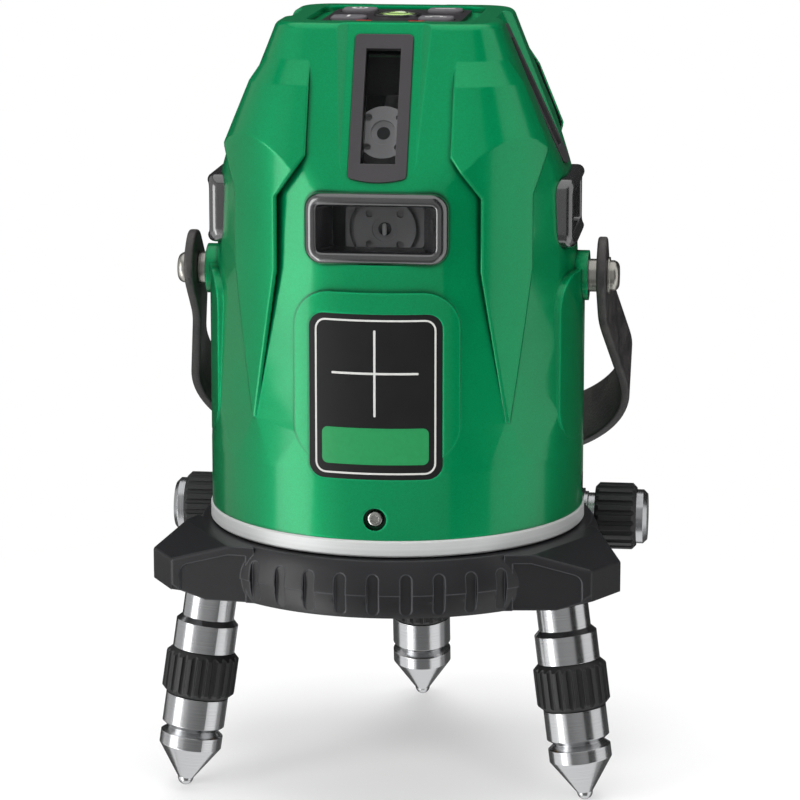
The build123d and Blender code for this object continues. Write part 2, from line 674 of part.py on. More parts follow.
def strap():
    """Flat band that hangs round the back of the body from its two pivots."""
    band = extrude(Plane.XZ.offset(-STRAP_W / 2) * trace(strap_line(), STRAP_T), STRAP_W)
    ends = [e for e in band.edges().filter_by(Axis.X) if e.center().Z > STRAP_TAB - STRAP_T]
    band = fillet(ends, STRAP_END_R)
    for way in (-1, 1):
        band -= rod_along_x(STRAP_SCREW_R + RUN_FIT, way * BODY_R / 2, way * 2 * BODY_R, 0, 0)
    return Pos(0, 0, STRAP_LEVEL) * Rot(STRAP_TILT, 0, 0) * band


def strap_bush():
    sleeve = rod_along_x(STRAP_BUSH_R, STRAP_BOSS_X, STRAP_BOSS_X + STRAP_BUSH_L, 0, STRAP_LEVEL)
    return sleeve - rod_along_x(STRAP_SCREW_R + SEAT_FIT, BODY_R / 2, 2 * BODY_R, 0, STRAP_LEVEL)


def strap_screw():
    """Slotted screw with a washer under its head."""
    washer_x = STRAP_MID_X + STRAP_T / 2 + FACE_GAP
    head_x = washer_x + STRAP_WASHER_T
    head = rod_along_x(STRAP_HEAD_R, head_x, head_x + STRAP_HEAD_H, 0, STRAP_LEVEL)
    head = fillet(head.faces().sort_by(Axis.X)[-1].edges(), STRAP_HEAD_ROUND)
    slot = Box(STRAP_HEAD_H, STRAP_SLOT_W, 2 * STRAP_HEAD_R)
    head -= Pos(head_x + STRAP_HEAD_H, 0, STRAP_LEVEL) * slot
    head += rod_along_x(STRAP_WASHER_R, washer_x, head_x, 0, STRAP_LEVEL)
    return head + rod_along_x(STRAP_SCREW_R, STRAP_BOSS_IN, head_x, 0, STRAP_LEVEL)


def both_sides(piece):
    return Compound(children=[piece, mirror(piece, Plane.YZ)])


def cell_places():
    first = -(CELL_COUNT - 1) / 2
    return [turned(Pos(0, -CELL_PITCH_R), 180 + CELL_TURN * (first + n)) for n in range(CELL_COUNT)]


def cell():
    can = disc(CELL_R, CELL_LOW_Z, CELL_LOW_Z + CELL_L)
    return can + disc(CELL_NUB_R, CELL_LOW_Z + CELL_L, CELL_LOW_Z + CELL_ROOM)


def battery_tray():
    """Open box behind the door that holds the cells against the back wall."""
    inner_half = CELL_SPREAD + TRAY_GAP
    deep = CELL_PITCH_R * cos(radians(CELL_TURN * (CELL_COUNT - 1) / 2)) - CELL_R - TRAY_GAP
    long = CELL_ROOM + 2 * TRAY_GAP
    room = Pos(0, DOOR_MID_Z) * Rectangle(2 * inner_half, long)
    hull = Pos(0, DOOR_MID_Z) * Rectangle(2 * inner_half + 2 * TRAY_WALL, long + 2 * TRAY_WALL)
    tray = from_front(hull, deep - TRAY_WALL, BODY_R) & face_shell(WALL + SEAT_FIT)
    tray -= from_front(room, deep, 2 * BODY_R)
    return turned(tray, 180)


def battery_door():
    shell = tube(BODY_R, BODY_R - DOOR_T + FACE_GAP, COVER_Z, TOP_Z)
    door = from_front(door_outline(), BODY_R / 2, 2 * BODY_R) & shell
    door -= rod_along_y(LATCH_R + RUN_FIT, -2 * BODY_R, 0, 0, LATCH_Z)
    return turned(door, 180)


def battery_latch():
    """Coin-slotted stud in the door."""
    stud = rod_along_y(LATCH_R, LATCH_IN, LATCH_OUT, 0, LATCH_Z)
    slot = Box(2 * LATCH_R, LATCH_SLOT_SINK, LATCH_SLOT_W)
    return stud - Pos(0, LATCH_OUT - LATCH_SLOT_SINK / 2, LATCH_Z) * slot


def gimbal_frame():
    yoke = tube(YOKE_R, YOKE_BORE_R, COVER_Z, COVER_Z + YOKE_T)
    for way in (-1, 1):
        post = Pos(way * POST_X, 0, COVER_Z) * Rectangle(POST_T, POST_W)
        yoke += extrude(post, PIVOT_Z + POST_ABOVE)
    return yoke - rod_along_x(GIMBAL_PIN_R + RUN_FIT, -YOKE_R, YOKE_R, 0, PIVOT_LEVEL)


def gimbal_ring():
    ring = tube(GIMBAL_R, GIMBAL_R - GIMBAL_T, PIVOT_LEVEL - GIMBAL_H / 2, PIVOT_LEVEL + GIMBAL_H / 2)
    ring -= rod_along_x(GIMBAL_PIN_R, -YOKE_R, YOKE_R, 0, PIVOT_LEVEL)
    return ring - rod_along_y(GIMBAL_PIN_R + RUN_FIT, -YOKE_R, YOKE_R, 0, PIVOT_LEVEL)


def gimbal_pins():
    pin = rod_along_x(GIMBAL_PIN_R, GIMBAL_R - GIMBAL_T, POST_X + POST_T / 2, 0, PIVOT_LEVEL)
    return both_sides(pin)


def carrier_pins():
    pin = rod_along_y(GIMBAL_PIN_R, CARRIER_R - GIMBAL_T, GIMBAL_R, 0, PIVOT_LEVEL)
    return Compound(children=[pin, mirror(pin, Plane.XZ)])


def upright_axis(back):
    """Plane across an upright-line projector, some way behind the glass."""
    return channel_plane(FRAME_SEAT + GLASS_T + UPRIGHT_GAP + back) * Pos(0, -UPRIGHT_DROP)


def laser_carrier():
    """Pendulum body: neck, gimbal hub, square head and four arms."""
    head_low = PIVOT_LEVEL + HEAD_GAP
    head_high = BEZEL_MID_Z + LEVEL_R
    body = disc(NECK_R, COVER_Z + WEIGHT_Z + WEIGHT_H, head_low)
    body += disc(CARRIER_R, PIVOT_LEVEL - GIMBAL_H, PIVOT_LEVEL + GIMBAL_H)
    head = Pos(0, 0, head_low) * RectangleRounded(2 * HEAD_HALF, 2 * HEAD_HALF, HEAD_CORNER_R)
    body += extrude(head, head_high - head_low)
    arm = upright_axis(UPRIGHT_L)
    arm_l = -arm.position.Y / FRAME_COS
    body += disc(NECK_R, head_low, arm.position.Z - arm_l * FRAME_SIN)
    for angle in SIDES.values():
        body += turned(extrude(arm * Circle(ARM_R), -arm_l), angle)
    return body - rod_along_y(GIMBAL_PIN_R, -CARRIER_R, CARRIER_R, 0, PIVOT_LEVEL)


def counterweight():
    weight = disc(WEIGHT_R, COVER_Z + WEIGHT_Z, COVER_Z + WEIGHT_Z + WEIGHT_H)
    return chamfer(weight.edges().filter_by(GeomType.CIRCLE), WEIGHT_CHAMFER)


def plumb_module():
    low = COVER_Z + WEIGHT_Z
    return disc(PLUMB_R, low - PLUMB_L, low) - disc(LENS_R, low - PLUMB_L, low - PLUMB_L + LENS_T)


def level_axis(back):
    """Plane across a level-line projector, some way behind its front face."""
    middle = (0, back - LEVEL_FRONT, BEZEL_MID_Z - LEVEL_DROP)
    return Plane(origin=middle, x_dir=(1, 0, 0), z_dir=(0, -1, 0)).location


def face_cuts(axis):
    """Cutters in a projector's face: lens bore, counterbore and four screw holes."""
    cuts = extrude(axis * Circle(LENS_SEAT_R), -LENS_SEAT_SINK)
    cuts += extrude(axis * Circle(LENS_R), -LENS_SEAT_SINK - LENS_T)
    for place in GridLocations(FACE_HOLE_PITCH, FACE_HOLE_PITCH, 2, 2):
        cuts += extrude(axis * place * Circle(FACE_HOLE_R), -FACE_HOLE_SINK)
    return cuts


def level_projector():
    """Round face on a barrel, with a flange round it beyond a narrow moat."""
    front = level_axis(0)
    plate = RectangleRounded(LEVEL_FLANGE_W, LEVEL_FLANGE_H, LEVEL_FLANGE_CORNER_R)
    flange = extrude(level_axis(LEVEL_FLANGE_SINK) * plate, -LEVEL_FLANGE_T)
    flange -= extrude(front * Circle(LEVEL_R + LEVEL_MOAT), -LEVEL_FACE_T)
    body = flange + extrude(front * Circle(LEVEL_R), -LEVEL_FLANGE_SINK - LEVEL_FLANGE_T)
    body += extrude(front * Circle(LEVEL_BARREL_R), HEAD_HALF - LEVEL_FRONT)
    return body - face_cuts(front)


def upright_projector():
    barrel = extrude(upright_axis(0) * Circle(UPRIGHT_R), -UPRIGHT_L)
    return barrel - face_cuts(upright_axis(0))


def projector_lenses():
    level = extrude(level_axis(LENS_SEAT_SINK) * Circle(LENS_R), -LENS_T)
    upright = extrude(upright_axis(LENS_SEAT_SINK) * Circle(LENS_R), -LENS_T)
    low = COVER_Z + WEIGHT_Z - PLUMB_L
    lenses = [turned(lens, angle) for lens in (level, upright) for angle in SIDES.values()]
    return Compound(children=lenses + [disc(LENS_R, low, low + LENS_T)])


def main_board():
    z = COVER_Z + STANDOFF_H
    front = Pos(0, -BODY_R - BOARD_FRONT, z) * Rectangle(4 * BODY_R, 2 * BODY_R)
    return disc(BOARD_R, z, z + BOARD_T) & extrude(front, BOARD_T)


def hub_panel():
    """Cutter for the sunk panel on the right-hand side of a hub, open below."""
    side = Vector(HUB_ROOT_HALF - HUB_END_HALF, HUB_R - HUB_ROOT_R)
    along = side.normalized()
    reach = side.length - HUB_PANEL_EDGE
    fall = HUB_FALL * along.Y / (HUB_R - DRUM_R)
    low_top = BASE_H - HUB_FALL - HUB_PANEL_EDGE + fall * HUB_PANEL_EDGE
    flat_at = (HUB_R - DRUM_R) / along.Y
    high_top = BASE_H - HUB_PANEL_EDGE
    outline = make_face(Polyline((HUB_PANEL_EDGE, -CUT_PAST), (HUB_PANEL_EDGE, low_top), (flat_at, high_top),
                                 (reach, high_top), (reach, -CUT_PAST), close=True))
    corner = outline.vertices().group_by(Axis.X)[0].sort_by(Axis.Y)[-1]
    outline = fillet(corner, HUB_PANEL_CORNER_R)
    face = Plane(origin=(HUB_END_HALF, -HUB_R, 0), x_dir=(along.X, along.Y, 0), z_dir=(along.Y, -along.X, 0))
    return extrude(face.offset(-HUB_PANEL_SINK) * outline, 2 * HUB_PANEL_SINK)


def hub_block():
    """Faceted hub of a leg, at the front: its top falls outwards and its lower end is cut away."""
    plan = [(-HUB_ROOT_HALF, -HUB_ROOT_R), (-HUB_END_HALF, -HUB_R), (HUB_END_HALF, -HUB_R),
            (HUB_ROOT_HALF, -HUB_ROOT_R)]
    block = extrude(make_face(Polyline(plan, close=True)), BASE_H)
    side = [(-HUB_ROOT_R, 0), (HUB_CHAMFER_R - HUB_R, 0), (-HUB_R, HUB_CHAMFER_H),
            (-HUB_R, BASE_H - HUB_FALL), (-DRUM_R, BASE_H), (-HUB_ROOT_R, BASE_H)]
    wedge = Plane.YZ.offset(-HUB_R) * make_face(Polyline(side, close=True))
    block &= extrude(wedge, 2 * HUB_R)
    outer = [e for e in block.edges() if e.center().Y < -DRUM_R and e.center().Z > HUB_CHAMFER_H / 2]
    block = fillet([e for e in outer if e.center().Y > -HUB_R or e.center().Z > HUB_CHAMFER_H], HUB_EDGE_R)
    panel = hub_panel()
    return block - panel - mirror(panel, Plane.YZ)


def drum_half(shrink, z_from, z_to):
    """One mould half of the round base, whose side bulges to half height."""
    edge_r = DRUM_EDGE_R - shrink
    side = ThreePointArc((edge_r, 0), (DRUM_R - shrink, BASE_H / 2), (edge_r, BASE_H))
    rest = Polyline((edge_r, BASE_H), (0, BASE_H), (0, 0), (edge_r, 0))
    whole = revolve(make_face(Plane.XZ * Curve([side, rest])), Axis.Z)
    return whole & disc(2 * DRUM_R, z_from, z_to)


def drum():
    return drum_half(PARTING_STEP, 0, BASE_H / 2) + drum_half(0, BASE_H / 2, BASE_H)


def base_body():
    base = drum()
    for angle in LEGS.values():
        base += turned(hub_block(), angle)
    for way in (-1, 1):
        base += rod_along_x(SHAFT_BOSS_R, way * BASE_CAVITY_R / 2, way * SHAFT_BOSS_X, DRIVE_Y, DRIVE_Z)
    base &= disc(2 * HUB_R, 0, BASE_H)
    base -= disc(BASE_CAVITY_R, BASE_FLOOR, BASE_H)
    base += disc(PIVOT_R, 0, PIVOT_TOP_Z)
    base -= disc(BUSH_R, 0, THREAD_L)
    base -= tube(SEAT_R + SEAT_GROOVE_W, SEAT_R, 0, SEAT_GROOVE_SINK)
    base -= disc(BEAM_R, 0, 2 * PIVOT_TOP_Z)
    base -= rod_along_x(SHAFT_BUSH_R, -2 * HUB_R, 2 * HUB_R, DRIVE_Y, DRIVE_Z)
    for way in (-1, 1):
        spot = SHAFT_BUSH_FLANGE_R + KNOB_GAP
        base -= rod_along_x(spot, way * SHAFT_BOSS_X, way * 2 * HUB_R, DRIVE_Y, DRIVE_Z)
    first = -(RIB_COUNT - 1) / 2
    for n in range(RIB_COUNT):
        groove = Pos(0, BASE_H / 2) * Rot(0, 0, 90) * SlotOverall(RIB_L, RIB_W)
        base -= turned(from_front(groove, DRUM_R - RIB_SINK, 2 * DRUM_R), RIB_PITCH * (first + n))
    for angle in LEGS.values():
        base -= leg_place(angle) * disc(LEG_STEM_R, -LEG_STEM_L, LEG_STEM_SINK)
    return base


def tripod_bush():
    bush = disc(BUSH_R, 0, THREAD_L)
    return bush - disc(THREAD_R, 0, THREAD_L)


def worm_wheel():
    """Wheel of the fine drive, its hub on the base and the collar that carries the chassis."""
    bore = PIVOT_R + RUN_FIT
    rim_r = WHEEL_PITCH_R - MESH_GAP / 2
    wheel = tube(rim_r, bore, DRIVE_Z - WHEEL_T / 2, DRIVE_Z + WHEEL_T / 2)
    wheel += tube(WHEEL_SPIGOT_R, bore, BASE_FLOOR + FACE_GAP, CLUTCH_TOP_Z)
    return wheel + tube(WHEEL_FLANGE_R, bore, DRIVE_Z, RING_Z - FACE_GAP)


def clutch_washer():
    z = COVER_Z + FACE_GAP
    return tube(CLUTCH_R, WHEEL_SPIGOT_R, z, z + CLUTCH_WASHER_T)


def clutch_nut():
    outline = Pos(0, 0, CLUTCH_TOP_Z - CLUTCH_NUT_T) * RegularPolygon(CLUTCH_R, CLUTCH_NUT_SIDES)
    nut = extrude(outline, CLUTCH_NUT_T)
    return nut - disc(WHEEL_SPIGOT_R, 0, TOP_Z)


def worm_shaft():
    """Shaft with the worm in the middle and a bright collar behind each knob."""
    end = KNOB_X + KNOB_L
    shaft = rod_along_x(SHAFT_R, -end, end, DRIVE_Y, DRIVE_Z)
    for way in (-1, 1):
        shaft += rod_along_x(KNOB_NECK_R, way * (KNOB_X - KNOB_NECK_L), way * KNOB_X, DRIVE_Y, DRIVE_Z)
    return shaft + rod_along_x(WORM_R - MESH_GAP / 2, -WORM_L / 2, WORM_L / 2, DRIVE_Y, DRIVE_Z)


def shaft_bush():
    bush = rod_along_x(SHAFT_BUSH_R, BASE_CAVITY_R, SHAFT_BOSS_X, DRIVE_Y, DRIVE_Z)
    flange_x = SHAFT_BOSS_X + SHAFT_BUSH_FLANGE_T
    bush += rod_along_x(SHAFT_BUSH_FLANGE_R, SHAFT_BOSS_X, flange_x, DRIVE_Y, DRIVE_Z)
    return bush - rod_along_x(SHAFT_R + RUN_FIT, 0, 2 * HUB_R, DRIVE_Y, DRIVE_Z)


def knob():
    """Ribbed grip on the right-hand end of the shaft."""
    grip = rod_along_x(KNOB_R, KNOB_X, KNOB_X + KNOB_L, 0, 0)
    grip = chamfer(grip.edges().filter_by(GeomType.CIRCLE), KNOB_CHAMFER)
    grip -= ribs_about_x(KNOB_R, KNOB_RIB_R, KNOB_RIBS, KNOB_X, KNOB_X + KNOB_L)
    grip -= rod_along_x(SHAFT_R, 0, 2 * HUB_R, 0, 0)
    return Pos(0, DRIVE_Y, DRIVE_Z) * grip


def ribs_about_x(radius, groove_r, count, x_from, x_to):
    groove = rod_along_x(groove_r, x_from, x_to, radius, 0)
    return [Rot(360 * n / count, 0, 0) * groove for n in range(count)]


def knob_cap():
    cap = rod_along_x(KNOB_CAP_R, KNOB_X + KNOB_L, KNOB_X + KNOB_L + KNOB_CAP_T, DRIVE_Y, DRIVE_Z)
    return chamfer(cap.faces().sort_by(Axis.X)[-1].edges(), KNOB_CHAMFER)


def leg_place(angle):
    """Where a leg, made along -Z below the origin, meets the underside."""
    root_r = LEG_TIP_R - LEG_DROP * tan(radians(LEG_SPLAY))
    return Rot(0, 0, angle) * Pos(0, -root_r, 0) * Rot(-LEG_SPLAY, 0, 0)


def leg_stem():
    """Turned stem in the hub, with the collar that backs the adjusting grip."""
    stem = disc(LEG_STEM_R, -LEG_STEM_L, LEG_STEM_SINK)
    collar = disc(LEG_COLLAR_R, -LEG_COLLAR_END, -LEG_STEM_L)
    stem += chamfer(collar.faces().sort_by(Axis.Z)[-1].edges(), LEG_COLLAR_R - LEG_STEM_R)
    return stem - disc(LEG_ROD_R + RUN_FIT, -LEG_COLLAR_END, LEG_STEM_SINK - LEG_STEM_END)


def leg_grip():
    """Captive nut with a grooved rim."""
    top = -LEG_COLLAR_END - FACE_GAP
    grip = disc(LEG_GRIP_R, top - LEG_GRIP_L, top)
    grip = chamfer(grip.edges().filter_by(GeomType.CIRCLE), LEG_GRIP_CHAMFER)
    for n in range(LEG_GRIP_RIBS):
        groove = Pos(LEG_GRIP_R, 0) * disc(LEG_GRIP_RIB_R, top - LEG_GRIP_L, top)
        grip -= Rot(0, 0, 360 * n / LEG_GRIP_RIBS) * groove
    return grip - disc(LEG_ROD_R + RUN_FIT, top - LEG_GRIP_L, top)


def leg_foot():
    """Screw rod, sleeve, groove, band and pointed tip in one turned piece."""
    top = -LEG_COLLAR_END - LEG_GRIP_L - 2 * FACE_GAP
    band_low = LEG_SLEEVE_L + LEG_GROOVE_L + LEG_BAND_L
    tip = -LEG_DROP / cos(radians(LEG_SPLAY))
    outline = [(0, top), (LEG_SLEEVE_R, top), (LEG_SLEEVE_R, top - LEG_SLEEVE_L),
               (LEG_GROOVE_R, top - LEG_SLEEVE_L - LEG_GROOVE_L / 2),
               (LEG_SLEEVE_R, top - LEG_SLEEVE_L - LEG_GROOVE_L), (LEG_SLEEVE_R, top - band_low),
               (LEG_TIP_BALL_R, tip + LEG_TIP_BALL_R), (0, tip + LEG_TIP_BALL_R)]
    ball = Pos(0, 0, tip + LEG_TIP_BALL_R) * Sphere(LEG_TIP_BALL_R)
    return spun(outline) + ball + disc(LEG_ROD_R, top, top + LEG_ROD_L)


def group(shapes):
    return Compound(children=list(shapes))


def pieces():
    made = {"cover": cover(), "chassis_plate": chassis_plate()}
    made["cover_screws"] = group(place * cover_screw() for place in screw_places())
    made["label_plate"] = label_outline()
    for side, angle in SIDES.items():
        made["slope_frame_" + side] = turned(slope_frame(), angle)
        made["bezel_" + side] = turned(bezel(), angle)
    made["slope_glasses"] = group(turned(slope_glass(), angle) for angle in SIDES.values())
    made["bezel_glasses"] = group(turned(bezel_glass(), angle) for angle in SIDES.values())
    made["top_panel"] = top_panel()
    made["indicator_lamps"] = group(place * lamp(PANEL_T + LAMP_PROUD) for place in lamp_places())
    made["vial_cup"] = vial_cup()
    made["bubble_vial"] = disc(VIAL_R, VIAL_Z, TOP_Z - VIAL_RIM / 2)
    for name, (x, y) in key_places().items():
        made[name] = Pos(x, y) * key()
    made["key_board"] = key_board()
    made["strap"] = strap()
    made["strap_bushes"] = both_sides(strap_bush())
    made["strap_screws"] = both_sides(strap_screw())
    made["battery_tray"] = battery_tray()
    made["battery_cells"] = group(place * cell() for place in cell_places())
    made["battery_door"] = battery_door()
    made["battery_latch"] = battery_latch()
    made["gimbal_frame"] = gimbal_frame()
    made["gimbal_ring"] = gimbal_ring()
    made["gimbal_pins"] = gimbal_pins()
    made["carrier_pins"] = carrier_pins()
    made["laser_carrier"] = laser_carrier()
    made["counterweight"] = counterweight()
    made["plumb_module"] = plumb_module()
    made["level_projectors"] = group(turned(level_projector(), angle) for angle in SIDES.values())
    made["upright_projectors"] = group(turned(upright_projector(), angle) for angle in SIDES.values())
    made["projector_lenses"] = projector_lenses()
    made["main_board"] = main_board()
    made["base_body"] = base_body()
    made["tripod_bush"] = tripod_bush()
    made["worm_wheel"] = worm_wheel()
    made["clutch_washer"] = clutch_washer()
    made["clutch_nut"] = clutch_nut()
    made["worm_shaft"] = worm_shaft()
    made["shaft_bushes"] = both_sides(shaft_bush())
    made["knob_right"] = knob()
    made["knob_left"] = mirror(knob(), Plane.YZ)
    made["knob_caps"] = both_sides(knob_cap())
    for name, angle in LEGS.items():
        made["leg_stem_" + name] = leg_place(angle) * leg_stem()
        made["leg_grip_" + name] = leg_place(angle) * leg_grip()
        made["leg_foot_" + name] = leg_place(angle) * leg_foot()
    return made


os.makedirs("parts", exist_ok=True)
for node, shape in pieces().items():
    export_step(shape, "parts/" + node + ".step")
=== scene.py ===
# %% [markdown]
# # A line laser level
# The solid model of this measuring tool is a set of pieces that turn, slide and press on joints.
# This lesson loads them, gives each one the finish of its real material, and models by hand the
# pieces that a solid model only hints at: the strap, the rims of the windows, the screws, the bubble
# vial and the printed signs.

# %% Load the model
from math import atan, cos, hypot, pi, radians, sin, tan
import bpy
import bmesh
from mathutils import Matrix, Vector


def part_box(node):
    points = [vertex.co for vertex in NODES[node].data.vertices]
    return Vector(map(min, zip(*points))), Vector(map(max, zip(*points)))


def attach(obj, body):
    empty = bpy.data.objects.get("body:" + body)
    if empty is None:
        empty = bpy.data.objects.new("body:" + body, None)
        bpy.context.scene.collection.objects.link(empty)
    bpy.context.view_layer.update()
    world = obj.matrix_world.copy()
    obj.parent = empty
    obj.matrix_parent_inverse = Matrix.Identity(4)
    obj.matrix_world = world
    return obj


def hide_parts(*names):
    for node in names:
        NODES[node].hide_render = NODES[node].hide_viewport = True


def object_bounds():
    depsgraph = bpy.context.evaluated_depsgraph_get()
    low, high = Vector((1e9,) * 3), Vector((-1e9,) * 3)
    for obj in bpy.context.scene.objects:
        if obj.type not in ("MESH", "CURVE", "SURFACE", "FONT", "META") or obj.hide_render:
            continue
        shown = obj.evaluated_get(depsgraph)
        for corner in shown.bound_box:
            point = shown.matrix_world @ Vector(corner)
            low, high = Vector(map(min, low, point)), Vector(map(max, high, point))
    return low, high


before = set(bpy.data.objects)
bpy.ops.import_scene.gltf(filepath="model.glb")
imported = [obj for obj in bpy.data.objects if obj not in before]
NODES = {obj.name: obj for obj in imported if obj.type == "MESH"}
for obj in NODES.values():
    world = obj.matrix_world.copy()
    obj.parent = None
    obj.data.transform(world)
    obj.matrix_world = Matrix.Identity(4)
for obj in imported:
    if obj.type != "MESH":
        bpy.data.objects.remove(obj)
CAD_BOX = [list(corner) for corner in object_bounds()]
MM = 0.001

# %% [markdown]
# ## The camera
# The object was photographed with a long lens from a little above and a little to the right.
# A long lens far away keeps the sides of the round cover nearly parallel, which a wide lens close by
# would not. The small shift puts the turning axis where the photograph has it.

# %% Camera
CAMERA_TURN = radians(6.8)
CAMERA_TILT = radians(11.63)
CAMERA_DISTANCE = 0.950
CAMERA_HEIGHT = 0.2465
FOCAL_LENGTH = 154.5
SENSOR_WIDTH = 36.0
PHOTO_WIDTH = 800
AXIS_OFFSET = 2.3  # pixels of the photograph

camera_data = bpy.data.cameras.new("photo_camera")
camera_data.lens = FOCAL_LENGTH
camera_data.sensor_width = SENSOR_WIDTH
camera_data.shift_x = AXIS_OFFSET / PHOTO_WIDTH
camera = bpy.data.objects.new("photo_camera", camera_data)
camera.location = (CAMERA_DISTANCE * sin(CAMERA_TURN), -CAMERA_DISTANCE * cos(CAMERA_TURN), CAMERA_HEIGHT)
camera.rotation_euler = (pi / 2 - CAMERA_TILT, 0, CAMERA_TURN)
bpy.context.scene.collection.objects.link(camera)
bpy.context.scene.camera = camera
print("camera at", [round(v, 3) for v in camera.location])

# %% [markdown]
# ## Small tools for finishes
# A finish is written as a colour a designer would quote (sRGB hex), sizes in millimetres and a few
# shader nodes. One function turns the colour to the linear values that light needs, one starts a
# material, and one adds a node with its settings and links. The rest are short helpers.

# %% Colour and scale
def linear(code):
    """Linear values of an sRGB hex colour."""
    parts = [int(code[i:i + 2], 16) / 255 for i in (0, 2, 4)]
    return [p / 12.92 if p <= 0.04045 else ((p + 0.055) / 1.055) ** 2.4 for p in parts] + [1.0]


def per_mm(size):
    """Texture scale whose features are this many millimetres apart."""
    return 1.0 / (size * MM)


print("mid grey is", [round(value, 3) for value in linear("808080")])

# %% Materials and nodes
# A Mix node has sockets of the same name for numbers, vectors and colours. These are the colours'.
MIX_A, MIX_B, MIX_OUT = 6, 7, 2


def finish(name, colour, **sockets):
    """A material with one colour and the given shader sockets."""
    mat = bpy.data.materials.new(name)
    mat.use_nodes = True
    shader = mat.node_tree.nodes["Principled BSDF"]
    shader.inputs["Base Color"].default_value = linear(colour)
    for socket, value in sockets.items():
        shader.inputs[socket.replace("_", " ")].default_value = value
    return mat


def outlet(source):
    """The output to link, where a node stands for its first one."""
    return source.outputs[0] if isinstance(source, bpy.types.Node) else source


def add(mat, kind, inputs=None, **settings):
    """Add a shader node; an input is a value, or a node or one of its outputs to link."""
    made = mat.node_tree.nodes.new("ShaderNode" + kind)
    for name, value in settings.items():
        setattr(made, name, value)
    for socket, value in (inputs or {}).items():
        if isinstance(value, (bpy.types.Node, bpy.types.NodeSocket)):
            mat.node_tree.links.new(outlet(value), made.inputs[socket])
        else:
            made.inputs[socket].default_value = value
    return made


def drive(mat, **sources):
    """Let nodes drive sockets of the shader."""
    shader = mat.node_tree.nodes["Principled BSDF"]
    for socket, source in sources.items():
        mat.node_tree.links.new(outlet(source), shader.inputs[socket.replace("_", " ")])


def dress(mat, *names):
    """Give solid-model nodes a finish."""
    for name in names:
        for slot in NODES[name].material_slots:
            slot.material = mat


print("finish tools ready")

# %% [markdown]
# ## Soft edges
# No moulded or turned edge is perfectly sharp: a radius of a few tenths of a millimetre catches a
# thin line of light. Rounding every edge in the mesh would cost thousands of faces, so the Bevel
# shader node bends the shading normal near edges instead. The same node tells where the edges are,
# because there the bent normal and the true normal disagree, and that is where handling polishes.
# On the green cover the same mask paints a highlight along the edges.

# %% Edge helper
EDGE_SAMPLES = 8
FULL_EDGE = 0.8  # the normals agree this much where an edge counts in full


def soft_edges(mat, radius):
    """Rounded-edge normal and a mask that is 1 along edges."""
    bevel = add(mat, "Bevel", {"Radius": radius * MM}, samples=EDGE_SAMPLES)
    true = add(mat, "NewGeometry")
    agree = add(mat, "VectorMath", {0: bevel, 1: true.outputs["Normal"]}, operation="DOT_PRODUCT")
    edge = add(mat, "MapRange", {"Value": agree.outputs["Value"], "From Min": 1.0, "From Max": FULL_EDGE})
    return bevel, edge


print("edge helper ready")

# %% [markdown]
# ## Moulded plastics
# Plastic takes the texture of its steel mould. Spark erosion leaves a fine grain on grips, frames
# and the base; a polished mould leaves a mirror with a trace of flow. One function covers them all:
# noise of the grain's size drives the height, broad noise the tone and a little of the gloss, and the
# edges are rubbed to a paler tone. Real grain is too fine to show, so it is drawn half a millimetre wide.

# %% Moulded plastic
FLOW = 14.0  # mm, the broad change of tone where the melt flowed
GLOSS_SPREAD = 0.06


def moulded(name, dark, light, rough, grain, depth, edge=0.3, wear="3a3a3c", **sockets):
    """Plastic with a grain of this size and depth, and edges worn to another tone."""
    mat = finish(name, dark, **sockets)
    place = add(mat, "TexCoord").outputs["Object"]
    fine = add(mat, "TexNoise", {"Vector": place, "Scale": per_mm(grain), "Detail": 2.0})
    broad = add(mat, "TexNoise", {"Vector": place, "Scale": per_mm(FLOW), "Detail": 3.0})
    tone = add(mat, "Mix", {"Factor": broad, MIX_A: linear(dark), MIX_B: linear(light)}, data_type="RGBA")
    normal, edges = soft_edges(mat, edge)
    worn = add(mat, "Math", {0: edges, 1: broad}, operation="MULTIPLY")
    colour = add(mat, "Mix", {"Factor": worn, MIX_A: tone.outputs[MIX_OUT], MIX_B: linear(wear)},
                 data_type="RGBA")
    gloss = add(mat, "MapRange", {"Value": broad, "To Min": rough - GLOSS_SPREAD,
                                  "To Max": rough + GLOSS_SPREAD})
    bump = add(mat, "Bump", {"Height": fine, "Normal": normal, "Distance": depth * MM, "Strength": 1.0})
    drive(mat, Base_Color=colour.outputs[MIX_OUT], Roughness=gloss, Normal=bump)
    return mat


print("plastic ready")

# %% Plastics of the tool
SIDES = ("front", "right", "back", "left")
LEG_TURNS = {"right": radians(60), "back": radians(180), "left": radians(300)}

# Satin black, rubbed grey along its edges.
BASE_NYLON = moulded("glass_filled_nylon_satin_black", "18181a", "212123", rough=0.38, grain=0.5,
                     depth=0.02, edge=0.6, wear="5c5d61", Specular_IOR_Level=0.4)
# Matte dark grey with an even grain.
FRAME_ABS = moulded("grained_grey_abs", "2f2d2f", "383638", rough=0.55, grain=0.45, depth=0.03, edge=0.2,
                    wear="5a585a")
# Deep black with bright, clear reflections.
BEZEL_ABS = moulded("polished_black_abs", "1b1b1d", "232325", rough=0.2, grain=2.5, depth=0.004, edge=0.3,
                    wear="3c3c3e", IOR=1.7, Specular_IOR_Level=1.0, Coat_Weight=0.6, Coat_Roughness=0.08)
# Dull black that grips.
GRIP_RUBBER = moulded("moulded_black_nitrile", "161617", "202021", rough=0.5, grain=0.5, depth=0.03,
                      edge=0.3, wear="38383a")
# Pale grey without shine, like frost.
MODULE_CASTING = moulded("bead_blasted_grey_casting", "a4a4a6", "b2b2b4", rough=0.6, grain=0.4,
                         depth=0.02, edge=0.2, wear="c0c0c2")
# Plain black that nobody sees.
TRAY_ABS = moulded("unpainted_black_abs", "121213", "19191a", rough=0.5, grain=0.6, depth=0.02)
